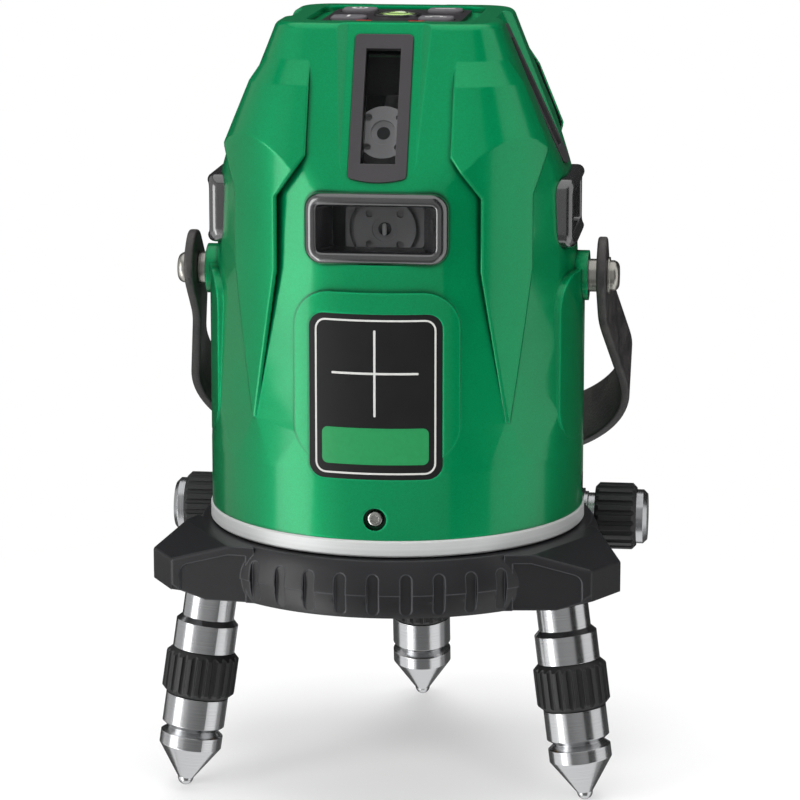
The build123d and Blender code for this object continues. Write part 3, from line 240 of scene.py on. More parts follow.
# Soft grey with hardly any shine.
KEY_SILICONE = moulded("grey_silicone", "504e52", "5c5a5d", rough=0.55, grain=0.5, depth=0.015, edge=0.3,
                       wear="6e6c70", Specular_IOR_Level=0.2)
dress(BASE_NYLON, "base_body")
dress(FRAME_ABS, *["slope_frame_" + side for side in SIDES])
dress(BEZEL_ABS, *["bezel_" + side for side in SIDES], "vial_cup")
dress(GRIP_RUBBER, "knob_right", "knob_left", "battery_latch", *["leg_grip_" + leg for leg in LEG_TURNS])
dress(MODULE_CASTING, "level_projectors", "upright_projectors", "plumb_module")
dress(TRAY_ABS, "battery_tray")
dress(KEY_SILICONE, "power_key", "level_key", "upright_key", "pulse_key")
print("moulded plastics dressed")

# %% [markdown]
# ## Where the cover is bare
# The varnish of the cover is only sprayed on its outside: faces that look towards the axis and the
# walls of the window pockets are bare black plastic, which keeps the windows dark. A face looks inwards
# when its normal points against the line from the axis. The normal comes in the world's directions,
# so it is turned into the cover's own first, or the mask would change as the cover turns.

# %% Bare plastic
RIM_LEVEL = 156.0
INWARD = -0.1
POCKET_HALF_W = 7.4
POCKET_MID_Z = 138.9
POCKET_HALF_H = 17.4


def bare_plastic(mat, place):
    """Mask that is 1 on the inside of the cover and in its window pockets."""
    way = add(mat, "NewGeometry").outputs["True Normal"]
    outward = add(mat, "VectorTransform", {"Vector": way}, vector_type="NORMAL", convert_from="WORLD",
                  convert_to="OBJECT")
    radial = add(mat, "VectorMath", {0: place, 1: (1.0, 1.0, 0.0)}, operation="MULTIPLY")
    facing = add(mat, "VectorMath", {0: outward, 1: radial}, operation="DOT_PRODUCT")
    inward = add(mat, "Math", {0: facing.outputs["Value"], 1: INWARD * MM}, operation="LESS_THAN")
    away = add(mat, "VectorMath", {0: place}, operation="ABSOLUTE")
    split = add(mat, "SeparateXYZ", {"Vector": away})
    below = add(mat, "Math", {0: split.outputs["Z"], 1: RIM_LEVEL * MM}, operation="LESS_THAN")
    inside = add(mat, "Math", {0: inward, 1: below}, operation="MULTIPLY")
    narrow = add(mat, "Math", {0: split.outputs["X"], 1: split.outputs["Y"]}, operation="MINIMUM")
    beside = add(mat, "Math", {0: narrow, 1: POCKET_HALF_W * MM}, operation="LESS_THAN")
    level = add(mat, "Math", {0: split.outputs["Z"], 1: POCKET_MID_Z * MM, 2: POCKET_HALF_H * MM},
                operation="COMPARE")
    pocket = add(mat, "Math", {0: beside, 1: level}, operation="MULTIPLY")
    return add(mat, "Math", {0: inside, 1: pocket}, operation="MAXIMUM")


print("bare inside below", RIM_LEVEL, "mm")

# %% [markdown]
# ## The green cover
# The cover is moulded ABS with a metallic lacquer: small aluminium flakes in green varnish under a
# clear coat. Flakes are far finer than a pixel, so they are drawn 0.25 mm wide, just coarse enough to
# give a faint sparkle. Creases, and the joints next to other parts, get a painted shade: an Ambient
# Occlusion node finds them and they are mixed to a deeper green. The raised edges get a painted
# highlight, a paler green.

# %% Green lacquer
# Radius of the rounded edges; it also sets the width of the painted highlight.
PETAL_EDGE = 1.1
# Reach and samples of the painted shade in creases.
PAINTED_SHADE_REACH = 1.6
PAINTED_SHADE_SAMPLES = 8
FLAKE = 0.25
CLOUD = 25.0
ORANGE_PEEL = 1.6
PEEL_DEPTH = 0.004


def green_lacquer():
    """Flakes in green varnish under a clear coat."""
    mat = finish("metallic_green_lacquer", "04864c", Metallic=0.45, Specular_IOR_Level=0.12,
                 Specular_Tint=linear("0a9c60"), Coat_Weight=0.55, Coat_Roughness=0.14)
    place = add(mat, "TexCoord").outputs["Object"]
    flake = add(mat, "TexVoronoi", {"Vector": place, "Scale": per_mm(FLAKE)})
    broad = add(mat, "TexNoise", {"Vector": place, "Scale": per_mm(CLOUD), "Detail": 2.0})
    sparkle = add(mat, "SeparateColor", {"Color": flake.outputs["Color"]})
    mixed = add(mat, "Math", {0: sparkle.outputs["Red"], 1: broad}, operation="ADD")
    half = add(mat, "Math", {0: mixed, 1: 0.5}, operation="MULTIPLY")
    paint = add(mat, "Mix", {"Factor": half, MIX_A: linear("007e49"), MIX_B: linear("02935a")},
                data_type="RGBA")
    normal, edges = soft_edges(mat, PETAL_EDGE)
    # Painted highlight: along the edges the paint is mixed to a paler green.
    painted_edge_highlight = add(mat, "Mix", {"Factor": edges, MIX_A: paint.outputs[MIX_OUT], MIX_B: linear("10a068")},
                 data_type="RGBA")
    # Painted shade: where Ambient Occlusion finds creases and joints next to other parts, the paint turns
    # a deep green.
    crease_occlusion = add(mat, "AmbientOcclusion", {"Distance": PAINTED_SHADE_REACH * MM}, samples=PAINTED_SHADE_SAMPLES)
    unshaded = add(mat, "MapRange", {"Value": crease_occlusion.outputs["AO"], "From Min": 0.45, "From Max": 0.9})
    painted_crease_shade = add(mat, "Mix", {"Factor": unshaded, MIX_A: linear("00351d"),
                               MIX_B: painted_edge_highlight.outputs[MIX_OUT]}, data_type="RGBA")
    colour = add(mat, "Mix", {"Factor": bare_plastic(mat, place), MIX_A: painted_crease_shade.outputs[MIX_OUT],
                              MIX_B: linear("0d0d0e")}, data_type="RGBA")
    gloss = add(mat, "MapRange", {"Value": sparkle.outputs["Green"], "To Min": 0.3, "To Max": 0.36})
    peel = add(mat, "TexNoise", {"Vector": place, "Scale": per_mm(ORANGE_PEEL), "Detail": 1.0})
    bump = add(mat, "Bump", {"Height": peel, "Normal": normal, "Distance": PEEL_DEPTH * MM,
                             "Strength": 1.0})
    drive(mat, Base_Color=colour.outputs[MIX_OUT], Roughness=gloss, Normal=bump)
    return mat


dress(green_lacquer(), "cover", "battery_door")
print("cover and battery door lacquered")

# %% [markdown]
# ## Turned metals
# A lathe tool leaves a very fine spiral. Its lines run round the axis, so the pattern needs only one
# number at each point: distance from the axis plus distance along it. On a barrel that gives rings,
# on an end face it gives circles. A Mapping node turns the part's axis onto Z first. Real tool marks
# are too fine to show, so these are drawn about a third of a millimetre apart.

# %% Turned metal
TOOL_EDGE = 0.2


def turned(name, dark, light, rough, axis_at=(0, 0, 0), axis_turn=(0, 0, 0), pitch=0.35, depth=0.002,
           metallic=1.0):
    """Metal with tool marks round an axis."""
    mat = finish(name, light, Metallic=metallic)
    place = add(mat, "TexCoord").outputs["Object"]
    local = add(mat, "Mapping", {"Vector": place, "Location": axis_at, "Rotation": axis_turn},
                vector_type="TEXTURE")
    split = add(mat, "SeparateXYZ", {"Vector": local})
    flat = add(mat, "CombineXYZ", {"X": split.outputs["X"], "Y": split.outputs["Y"]})
    reach = add(mat, "VectorMath", {0: flat}, operation="LENGTH")
    along = add(mat, "Math", {0: reach.outputs["Value"], 1: split.outputs["Z"]}, operation="ADD")
    lines = add(mat, "TexNoise", {"W": along, "Scale": per_mm(pitch), "Detail": 2.0},
                noise_dimensions="1D")
    tone = add(mat, "Mix", {"Factor": lines, MIX_A: linear(dark), MIX_B: linear(light)}, data_type="RGBA")
    gloss = add(mat, "MapRange", {"Value": lines, "To Min": rough - 0.06, "To Max": rough + 0.08})
    bump = add(mat, "Bump", {"Height": lines, "Normal": soft_edges(mat, TOOL_EDGE)[0],
                             "Distance": depth * MM, "Strength": 1.0})
    drive(mat, Base_Color=tone.outputs[MIX_OUT], Roughness=gloss, Normal=bump)
    return mat


print("turned metal ready")

# %% Metals of the tool
ALONG_X = (0, pi / 2, 0)
DRIVE_AXIS = (0, 32.7 * MM, 11.3 * MM)
STRAP_LEVEL = 87.8
STRAP_AXIS = (0, 0, STRAP_LEVEL * MM)
LEG_SPLAY = radians(9.0)
LEG_TIP_R = 65.2
LEG_TIP_DROP = 54.0
LEG_ROOT = LEG_TIP_R - LEG_TIP_DROP * tan(LEG_SPLAY)

# Silver paint on a casting: pale, hardly metallic.
dress(turned("silver_lacquered_casting", "b9bbba", "c9cbca", rough=0.45, pitch=0.6, metallic=0.25),
      "chassis_plate")
# Nickel is a little warm.
dress(turned("nickel_plated_steel_pivots", "a5a39c", "c2c0b8", 0.28, STRAP_AXIS, ALONG_X), "strap_screws",
      "strap_bushes")
# Bare steel, bright and neutral.
dress(turned("turned_steel_drive", "b0b1b3", "cbccce", 0.24, DRIVE_AXIS, ALONG_X), "knob_caps",
      "worm_shaft", "shaft_bushes")
dress(turned("turned_steel", "aeafb1", "c8c9cb", rough=0.26), "gimbal_pins", "carrier_pins",
      "clutch_washer", "clutch_nut", "cover_screws")
# Stainless steel with sharp bright and dark bands. Each leg has an axis of its own.
for leg, turn in LEG_TURNS.items():
    root = (LEG_ROOT * MM * sin(turn), -LEG_ROOT * MM * cos(turn), 0)
    dress(turned("turned_stainless_leg_" + leg, "b4b5b7", "d0d1d2", 0.2, root, (-LEG_SPLAY, 0, turn)),
          "leg_stem_" + leg, "leg_foot_" + leg)
# Aluminium is greyer and duller than steel.
dress(turned("machined_aluminium", "8f9194", "a6a8ab", rough=0.38), "gimbal_frame", "gimbal_ring",
      "laser_carrier")
# Brass is yellow in its reflections too.
BRASS = turned("turned_brass", "a5823f", "bb9850", rough=0.3)
dress(BRASS, "tripod_bush", "worm_wheel", "counterweight")
print("turned metals dressed")

# %% [markdown]
# ## Glass, lamps and cells
# The windows are thin flat panes. Refraction in a pane that thin is not visible, so alpha does the
# work: most light passes straight through, and the rest is the gloss of the pane. The lamps are
# tinted acrylic, the label and the top panel are films, and the cells have a lacquered jacket. All of
# them are smooth, with a faint cloud in tone and gloss.

# %% Glass and small finishes
def speckled(name, dark, light, size, rough, **sockets):
    """Smooth finish with clouds of this size."""
    mat = finish(name, dark, **sockets)
    place = add(mat, "TexCoord").outputs["Object"]
    cloud = add(mat, "TexNoise", {"Vector": place, "Scale": per_mm(size), "Detail": 3.0})
    tone = add(mat, "Mix", {"Factor": cloud, MIX_A: linear(dark), MIX_B: linear(light)}, data_type="RGBA")
    gloss = add(mat, "MapRange", {"Value": cloud, "To Min": rough * 0.8, "To Max": rough * 1.2})
    drive(mat, Base_Color=tone.outputs[MIX_OUT], Roughness=gloss)
    return mat


# Clear, with sharp reflections.
dress(speckled("window_pane_glass", "0b0d0d", "121515", size=9.0, rough=0.04, Alpha=0.16, IOR=1.5),
      "slope_glasses", "bezel_glasses")
# Nearly black, with a glint.
dress(speckled("coated_lens_glass", "0a0f12", "10181c", size=1.0, rough=0.05, IOR=1.6, Coat_Weight=0.6),
      "projector_lenses")
# Deep red and shiny.
dress(speckled("red_tinted_acrylic", "a30f1c", "c4202c", size=1.0, rough=0.12, Coat_Weight=0.5),
      "indicator_lamps")
# Flat black film that takes print.
dress(speckled("printed_polyester_black", "151516", "1a1a1b", size=6.0, rough=0.5,
               Specular_IOR_Level=0.2), "label_plate")
# Film with a fine tooth and a soft sheen.
dress(speckled("embossed_membrane_film", "1c191c", "231f23", size=0.6, rough=0.42), "top_panel")
# Dark green with a half gloss.
dress(speckled("green_solder_mask", "0b3d20", "114d2a", size=1.5, rough=0.35), "main_board", "key_board")
# Grey with a clear, even shine.
dress(speckled("lacquered_cell_jacket", "8e9094", "a2a4a8", size=2.0, rough=0.3, Coat_Weight=0.3),
      "battery_cells")
print("glass and small finishes dressed")

# %% [markdown]
# ## Making a piece
# Pieces made here start as a bmesh in millimetres, become an object at the origin, and ride on the
# body that carries them on the real tool.

# %% Pieces
SHARP = radians(40.0)


def linked(name, bm, mat):
    """Object made from a bmesh and put in the scene."""
    mesh = bpy.data.meshes.new(name)
    bm.to_mesh(mesh)
    bm.free()
    mesh.materials.append(mat)
    made = bpy.data.objects.new(name, mesh)
    bpy.context.scene.collection.objects.link(made)
    return made


def piece(name, bm, mat, body, slot, *replaced):
    """Object from a bmesh in millimetres, riding on a body."""
    bmesh.ops.scale(bm, vec=(MM, MM, MM), verts=bm.verts)
    made = linked(name, bm, mat)
    made.data.shade_smooth()
    made.data.set_sharp_from_angle(angle=SHARP)
    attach(made, body)
    if replaced:
        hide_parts(*replaced)
    print(name, len(made.data.polygons), "faces on", body)
    return made


print("piece maker ready")

# %% Mesh helpers
WELD = 0.001


def verts_of(geom):
    """The vertices among the results of a bmesh operator."""
    return [item for item in geom if isinstance(item, bmesh.types.BMVert)]


def faces_of(geom):
    """The faces among the results of a bmesh operator."""
    return [item for item in geom if isinstance(item, bmesh.types.BMFace)]


def whole(face):
    """A face with its edges and vertices."""
    return [face] + face.edges[:] + face.verts[:]


def lathe(bm, points, steps):
    """Turn a line of (radius, height) points once round the Z axis."""
    line = [bm.verts.new((r, 0, z)) for r, z in points]
    edges = [bm.edges.new(pair) for pair in zip(line, line[1:])]
    bmesh.ops.spin(bm, geom=line + edges, cent=(0, 0, 0), axis=(0, 0, 1), dvec=(0, 0, 0), angle=2 * pi,
                   steps=steps, use_merge=True)
    bmesh.ops.remove_doubles(bm, verts=bm.verts, dist=WELD)
    bmesh.ops.recalc_face_normals(bm, faces=bm.faces)


def to_four_sides(bm, reach, level):
    """Move what is at the origin to the front, and copy it to the other three sides."""
    bmesh.ops.translate(bm, verts=bm.verts, vec=(0, -reach, level))
    bmesh.ops.spin(bm, geom=bm.verts[:] + bm.edges[:] + bm.faces[:], cent=(0, 0, 0), axis=(0, 0, 1),
                   dvec=(0, 0, 0), angle=1.5 * pi, steps=3, use_duplicate=True)


print("mesh helpers ready")

# %% [markdown]
# ## The carrying strap
# The real strap is one band of black leather with a punched hole and a rounded tab at each end.
# A swept curve would give the loop but not the tab, so it is modelled the way it is cut: a flat tab
# with its hole is filled and given its thickness, and its lower end is pulled on round the loop, with
# a spin for each bend and an extrusion for each straight run. An extrusion is given the edges of the
# end as well as its face, or the old end would stay inside the band as a wall.

# %% Tab and runs
STRAP_W = 18.0
STRAP_T = 2.6
STRAP_MID_X = 57.55
STRAP_TAB = 11.5
STRAP_END_R = 8.0
STRAP_HOLE_R = 2.6


def strap_tab(bm, low):
    """Flat tab with its hole, and the face at its lower end."""
    inner = STRAP_MID_X - STRAP_T / 2
    half = STRAP_W / 2
    corners = [(-half, low), (half, low), (half, STRAP_TAB), (-half, STRAP_TAB)]
    verts = [bm.verts.new((inner, y, z)) for y, z in corners]
    bm.faces.new(verts)
    bmesh.ops.bevel(bm, geom=verts[2:], offset=STRAP_END_R, offset_type="OFFSET", affect="VERTICES",
                    segments=8, profile=0.5, material=-1)
    bmesh.ops.delete(bm, geom=bm.faces[:], context="FACES_ONLY")
    upright = Matrix.Translation((inner, 0, 0)) @ Matrix.Rotation(pi / 2, 4, "Y")
    bmesh.ops.create_circle(bm, segments=24, radius=STRAP_HOLE_R, matrix=upright)
    bmesh.ops.triangle_fill(bm, edges=bm.edges[:], use_beauty=True)
    thick = bmesh.ops.extrude_face_region(bm, geom=bm.faces[:])["geom"]
    bmesh.ops.translate(bm, verts=verts_of(thick), vec=(STRAP_T, 0, 0))
    return min(bm.faces, key=lambda face: face.calc_center_median().z)


def run_on(bm, end, way):
    """Pull the end of the band along a straight line."""
    pulled = bmesh.ops.extrude_face_region(bm, geom=whole(end))["geom"]
    bmesh.ops.translate(bm, verts=verts_of(pulled), vec=way)
    return faces_of(pulled)[0]


def bend_on(bm, end, centre, angle, steps):
    """Pull the end of the band round a bend about the Y direction."""
    bent = bmesh.ops.spin(bm, geom=whole(end), cent=centre, axis=(0, 1, 0), dvec=(0, 0, 0), angle=angle,
                          steps=steps)["geom_last"]
    return faces_of(bent)[0]


print("strap band", STRAP_W, "x", STRAP_T, "mm")

# %% [markdown]
# Half of the loop runs from the tab outwards, round the corner and to the middle. The other half is
# its mirror image. The last step rounds all the cut edges.

# %% Loop of the strap
STRAP_DEPTH = 85.5
STRAP_HALF_LOW = 69.0
STRAP_BEND_R = 60.0
STRAP_CORNER_R = 38.0
STRAP_TILT = radians(46.9)
CUT_EDGE = 1.0  # radians between two faces
CUT_ROUND = 0.6


def strap_mesh():
    """Whole band, at the angle at which it rests."""
    lean = atan((STRAP_HALF_LOW - STRAP_MID_X) / (STRAP_DEPTH - STRAP_TAB))
    corner_angle = pi / 2 + lean
    bend_cut = STRAP_BEND_R * tan(lean / 2)
    corner_cut = STRAP_CORNER_R * tan(corner_angle / 2)
    side = (STRAP_DEPTH - STRAP_TAB) / cos(lean) - bend_cut - corner_cut
    bend_z = bend_cut - STRAP_TAB
    bm = bmesh.new()
    end = strap_tab(bm, bend_z)
    end = bend_on(bm, end, (STRAP_MID_X + STRAP_BEND_R, 0, bend_z), -lean, 4)
    end = run_on(bm, end, (side * sin(lean), 0, -side * cos(lean)))
    corner = (STRAP_HALF_LOW - corner_cut, 0, STRAP_CORNER_R - STRAP_DEPTH)
    end = bend_on(bm, end, corner, corner_angle, 28)
    end = run_on(bm, end, (corner_cut - STRAP_HALF_LOW, 0, 0))
    bm.faces.remove(end)
    bmesh.ops.mirror(bm, geom=bm.verts[:] + bm.edges[:] + bm.faces[:], axis="X", merge_dist=0.01)
    bmesh.ops.recalc_face_normals(bm, faces=bm.faces)
    cut = [e for e in bm.edges if e.is_manifold and e.calc_face_angle() > CUT_EDGE]
    bmesh.ops.bevel(bm, geom=cut, offset=CUT_ROUND, offset_type="OFFSET", affect="EDGES", segments=3,
                    profile=0.5, material=-1)
    bmesh.ops.rotate(bm, verts=bm.verts, cent=(0, 0, 0), matrix=Matrix.Rotation(STRAP_TILT, 3, "X"))
    bmesh.ops.translate(bm, verts=bm.verts, vec=(0, 0, STRAP_LEVEL))
    return bm


print("loop", STRAP_DEPTH, "mm deep and", 2 * STRAP_HALF_LOW, "mm wide at its foot")

# %% [markdown]
# Leather has a pebbled grain of closed cells about a millimetre wide, which Voronoi noise draws well.
# The finish wears off where hands rub it, so broad patches and the cut edges are greyer and rougher.

# %% Leather
PEBBLE = 1.1
PEBBLE_DEPTH = 0.12
RUBBED_PATCH = 5.0
LEATHER_EDGE = 0.5


def strap_leather():
    """Black leather, worn grey in patches and along its edges."""
    mat = finish("worn_black_leather", "1d1b1c")
    place = add(mat, "TexCoord").outputs["Object"]
    cells = add(mat, "TexVoronoi", {"Vector": place, "Scale": per_mm(PEBBLE)}, feature="DISTANCE_TO_EDGE")
    patches = add(mat, "TexNoise", {"Vector": place, "Scale": per_mm(RUBBED_PATCH), "Detail": 6.0,
                                    "Roughness": 0.65})
    normal, edges = soft_edges(mat, LEATHER_EDGE)
    rubbed = add(mat, "MapRange", {"Value": patches, "From Min": 0.38, "From Max": 0.82})
    worn = add(mat, "Math", {0: rubbed, 1: edges}, operation="MAXIMUM")
    tone = add(mat, "Mix", {"Factor": worn, MIX_A: linear("2a2829"), MIX_B: linear("474442")},
               data_type="RGBA")
    gloss = add(mat, "MapRange", {"Value": worn, "To Min": 0.42, "To Max": 0.62})
    bump = add(mat, "Bump", {"Height": cells.outputs["Distance"], "Normal": normal,
                             "Distance": PEBBLE_DEPTH * MM, "Strength": 1.0})
    drive(mat, Base_Color=tone.outputs[MIX_OUT], Roughness=gloss, Normal=bump)
    return mat


piece("carry_strap", strap_mesh(), strap_leather(), "strap", "strap_black", "strap")

# %% [markdown]
# ## The base
# The moulded base is drawn in at its lower rim: the edge of the drum and the hubs of the legs end a
# little higher than the plate round the tripod thread, and the hubs are cut away below. In a copy of
# the solid the vertices of the lower rim are moved up, and then the copy is welded, because its
# triangles come apart. Each face remembers which face of the solid it was, so that the solid's smooth
# normals can be put back on it.

# %% Base
UNDER_R = 45.0
UNDER_RISE = 2.4
HUB_END_R = 62.0
HUB_CUT_LEVEL = 6.5
HUB_CUT_DROP = 1.6
LEVEL_SLACK = 0.1
BASE_WELD = 0.002

solid = NODES["base_body"].data
shell = bmesh.new()
shell.from_mesh(solid)
origin = shell.faces.layers.int.new("origin")
for number, face in enumerate(shell.faces):
    face[origin] = number
bmesh.ops.scale(shell, vec=(1 / MM, 1 / MM, 1 / MM), verts=shell.verts)
rim = [v for v in shell.verts if v.co.z < UNDER_RISE and hypot(v.co.x, v.co.y) > UNDER_R]
for v in rim:
    v.co.z = UNDER_RISE
hub_cut = [v for v in shell.verts
           if abs(v.co.z - HUB_CUT_LEVEL) < LEVEL_SLACK and hypot(v.co.x, v.co.y) > HUB_END_R]
bmesh.ops.translate(shell, verts=hub_cut, vec=(0, 0, -HUB_CUT_DROP))
bmesh.ops.remove_doubles(shell, verts=shell.verts, dist=BASE_WELD)
print("raised", len(rim), "corners of the rim, lowered", len(hub_cut), "of the hubs")
base_shell = piece("base_shell", shell, BASE_NYLON, "base", "base_black", "base_body").data
smooth = [Vector(corner.vector) for corner in solid.corner_normals]
kept = [value.value for value in base_shell.attributes["origin"].data]
base_shell.normals_split_custom_set([smooth[corner] for number in kept
                                     for corner in solid.polygons[number].loop_indices])

# %% [markdown]
# ## Cover screws
# Four button-head screws with a hexagon socket hold the cover to the ring. The head is turned on a
# lathe, so a spin makes it. The socket is pressed in: the gap between the round rim and a hexagon is
# filled with triangles, and the hexagon is pulled down. One screw is made and copied to the other sides.

# %% Screws
SCREW_HEAD_R = 2.35
SCREW_HEAD_H = 1.6
SCREW_SEAT_R = 50.5
SCREW_LEVEL = 28.8
SOCKET_R = 1.15
SOCKET_DEPTH = 1.0
# The head's outline, in shares of its radius and height.
HEAD_OUTLINE = ((0, 0), (1, 0), (1, 0.45), (0.93, 0.7), (0.8, 0.9), (0.62, 1))


def socket_screws():
    """Four button-head screws on the sides of the cover."""
    bm = bmesh.new()
    lathe(bm, [(r * SCREW_HEAD_R, h * SCREW_HEAD_H) for r, h in HEAD_OUTLINE], 32)
    top = [e for e in bm.edges if e.is_boundary and e.verts[0].co.z > 0.95 * SCREW_HEAD_H]
    corners = bmesh.ops.create_circle(bm, segments=6, radius=SOCKET_R,
                                      matrix=Matrix.Translation((0, 0, SCREW_HEAD_H)))["verts"]
    hexagon = list({e for v in corners for e in v.link_edges})
    bmesh.ops.triangle_fill(bm, edges=top + hexagon, use_beauty=True)
    sunk = bmesh.ops.extrude_edge_only(bm, edges=hexagon)["geom"]
    bmesh.ops.translate(bm, verts=verts_of(sunk), vec=(0, 0, -SOCKET_DEPTH))
    bmesh.ops.contextual_create(bm, geom=verts_of(sunk))
    bmesh.ops.recalc_face_normals(bm, faces=bm.faces)
    bmesh.ops.rotate(bm, verts=bm.verts, cent=(0, 0, 0), matrix=Matrix.Rotation(pi / 2, 3, "X"))
    to_four_sides(bm, SCREW_SEAT_R, SCREW_LEVEL)
    return bm


# Zinc plating is bright and a trace yellow.
ZINC = turned("zinc_plated_steel", "b2b2ae", "cdcdc8", rough=0.25)
piece("socket_screws", socket_screws(), ZINC, "instrument", "steel", "cover_screws")

# %% [markdown]
# ## Bubble vial
# A round vial tells when the base stands roughly level: green spirit under a domed acrylic cap, with
# a bubble and a black ring to centre it in. The spirit is a domed lathe shape, the bubble a flattened
# sphere that just breaks its surface, and the ring a thin lathe ring printed on the dome.

# %% Vial
VIAL_R = 5.4
VIAL_LOW = 154.2
VIAL_TOP = 160.5
VIAL_DOME = 1.3
VIAL_STEPS = 48
DOME_RINGS = 6


def dome_height(radius):
    """Height of the vial's dome at a distance from its middle."""
    return VIAL_TOP - VIAL_DOME * (radius / VIAL_R) ** 2


dome = [VIAL_R * step / DOME_RINGS for step in range(DOME_RINGS, -1, -1)]
spirit = bmesh.new()
lathe(spirit, [(0, VIAL_LOW), (VIAL_R, VIAL_LOW)] + [(r, dome_height(r)) for r in dome], VIAL_STEPS)
# Bright yellow-green behind a clear, shiny cap.
SPIRIT = speckled("green_spirit_in_acrylic", "9cc06e", "b4d488", size=3.0, rough=0.12,
                  Specular_IOR_Level=0.3, Coat_Weight=0.3, Coat_Roughness=0.05)
piece("vial_spirit", spirit, SPIRIT, "instrument", "vial_green", "bubble_vial")

# %% Bubble and ring
BUBBLE_R = 1.9
BUBBLE_FLAT = 0.22
BUBBLE_AT = (0.5, 0.4, VIAL_TOP - 0.3)
RING_R = 2.6
RING_W = 0.3
# The ring's outline: distance from its inner edge, and height over the dome there.
RING_OUTLINE = ((0, -0.05), (0, 0.04), (RING_W, 0.03), (RING_W, -0.1), (0, -0.05))

bubble = bmesh.new()
bmesh.ops.create_uvsphere(bubble, u_segments=32, v_segments=16, radius=BUBBLE_R)
bmesh.ops.scale(bubble, vec=(1, 1, BUBBLE_FLAT), verts=bubble.verts)
bmesh.ops.translate(bubble, verts=bubble.verts, vec=BUBBLE_AT)
# Paler than the spirit, with a sharp glint.
AIR = speckled("air_bubble", "d5e6bd", "e2f0cf", size=2.0, rough=0.05, Coat_Weight=1.0)
piece("vial_bubble", bubble, AIR, "instrument", "vial_green")

ring = bmesh.new()
lathe(ring, [(RING_R + out, dome_height(RING_R) + up) for out, up in RING_OUTLINE], VIAL_STEPS)
# A thin black line with a soft shine.
INK_BLACK = speckled("black_screen_ink", "141414", "1c1c1c", size=0.8, rough=0.4)
piece("vial_ring", ring, INK_BLACK, "instrument", "panel_black")

# %% [markdown]
# ## Signs on the keys
# Each key carries a small raised sign in white ink: a ring with a bar for power, a lying bar for the
# level line, a standing bar for the upright line and a square wave for the pulse mode. A bar is a scaled
# cube with its corners bevelled, and the ring is a small square spun most of the way round.

# %% Strokes of ink
INK_T = 0.12
STROKE = 0.7
# White that is a little dull, as ink is.
INK_WHITE = speckled("white_screen_ink", "bcbcb9", "cacac6", size=0.8, rough=0.5)


def bar(bm, x, y, width, length):
    """A bar of ink with rounded corners, lying on the XY plane."""
    made = bmesh.ops.create_cube(bm, size=1.0)["verts"]
    bmesh.ops.scale(bm, vec=(width, length, INK_T), verts=made)
    bmesh.ops.translate(bm, verts=made, vec=(x, y, 0))
    upright = [e for v in made for e in v.link_edges
               if abs(e.verts[0].co.z - e.verts[1].co.z) > INK_T / 2]
    bmesh.ops.bevel(bm, geom=list(set(upright)), offset=min(width, length) * 0.4, offset_type="OFFSET",
                    affect="EDGES", segments=3, profile=0.5, material=-1)


def arc(bm, radius, opening):
    """A ring of ink round the origin with an opening towards +Y."""
    low, high = radius - STROKE / 2, radius + STROKE / 2
    corners = [(low, -INK_T / 2), (high, -INK_T / 2), (high, INK_T / 2), (low, INK_T / 2)]
    section = bm.faces.new([bm.verts.new((x, 0, z)) for x, z in corners])
    begin = Matrix.Rotation(pi / 2 + opening / 2, 3, "Z")
    bmesh.ops.rotate(bm, verts=section.verts[:], cent=(0, 0, 0), matrix=begin)
    bmesh.ops.spin(bm, geom=whole(section), cent=(0, 0, 0), axis=(0, 0, 1), dvec=(0, 0, 0),
                   angle=2 * pi - opening, steps=28)


print("strokes", STROKE, "mm wide")

# %% Key signs
KEY_TOP = 160.3
KEY_HALF_PITCH = 12.0
POWER_R = 1.9
POWER_GAP = radians(70)
# Each key's place (left or right, front or back) and its bars: x, y, width, length.
KEYS = {
    "power_key": (-1, 1, [(0, 1.5, STROKE, 2.2)]),
    "level_key": (1, 1, [(0, 0, 5.6, STROKE)]),
    "upright_key": (-1, -1, [(0, 0, STROKE, 4.8)]),
    "pulse_key": (1, -1, [(-2.2, -1.0, 1.6, STROKE), (-1.4, 0, STROKE, 2.7), (0, 1.0, 3.4, STROKE),
                          (1.4, 0, STROKE, 2.7), (2.2, -1.0, 1.6, STROKE)]),
}

for key, (across, back, bars) in KEYS.items():
    sign = bmesh.new()
    if key == "power_key":
        arc(sign, POWER_R, POWER_GAP)
    for x, y, width, length in bars:
        bar(sign, x, y, width, length)
    bmesh.ops.recalc_face_normals(sign, faces=sign.faces)
    seat = (across * KEY_HALF_PITCH, back * KEY_HALF_PITCH, KEY_TOP)
    bmesh.ops.translate(sign, verts=sign.verts, vec=seat)
    piece(key + "_sign", sign, INK_WHITE, key, "key_grey")

# %% [markdown]
# ## Label print
# The label is a black film on the front with a plain print: a thin frame, two crossing lines that
# show what the tool draws, and a plain green field. The print is drawn flat and then bent round the
# cover. First it is cut into upright strips, so that straight bars follow the curve.

# %% Print helpers
LABEL_R = 52.5
LABEL_MID = 62.3
LABEL_HALF_W = 18.0
LABEL_HALF_H = 22.5
LABEL_STRIPS = 24
PRINT_PROUD = 0.03
# Flat green, brighter than the cover's.
INK_GREEN = speckled("green_screen_ink", "0f7d43", "138a4c", size=1.2, rough=0.35)


def rounded_sheet(bm, y, half_w, half_h, corner):
    """A flat sheet with rounded corners, with its middle at a height y."""
    corners = [(-half_w, y - half_h), (half_w, y - half_h), (half_w, y + half_h), (-half_w, y + half_h)]
    verts = [bm.verts.new((u, v, 0)) for u, v in corners]
    bm.faces.new(verts)
    bmesh.ops.bevel(bm, geom=verts, offset=corner, offset_type="OFFSET", affect="VERTICES", segments=6,
                    profile=0.5, material=-1)


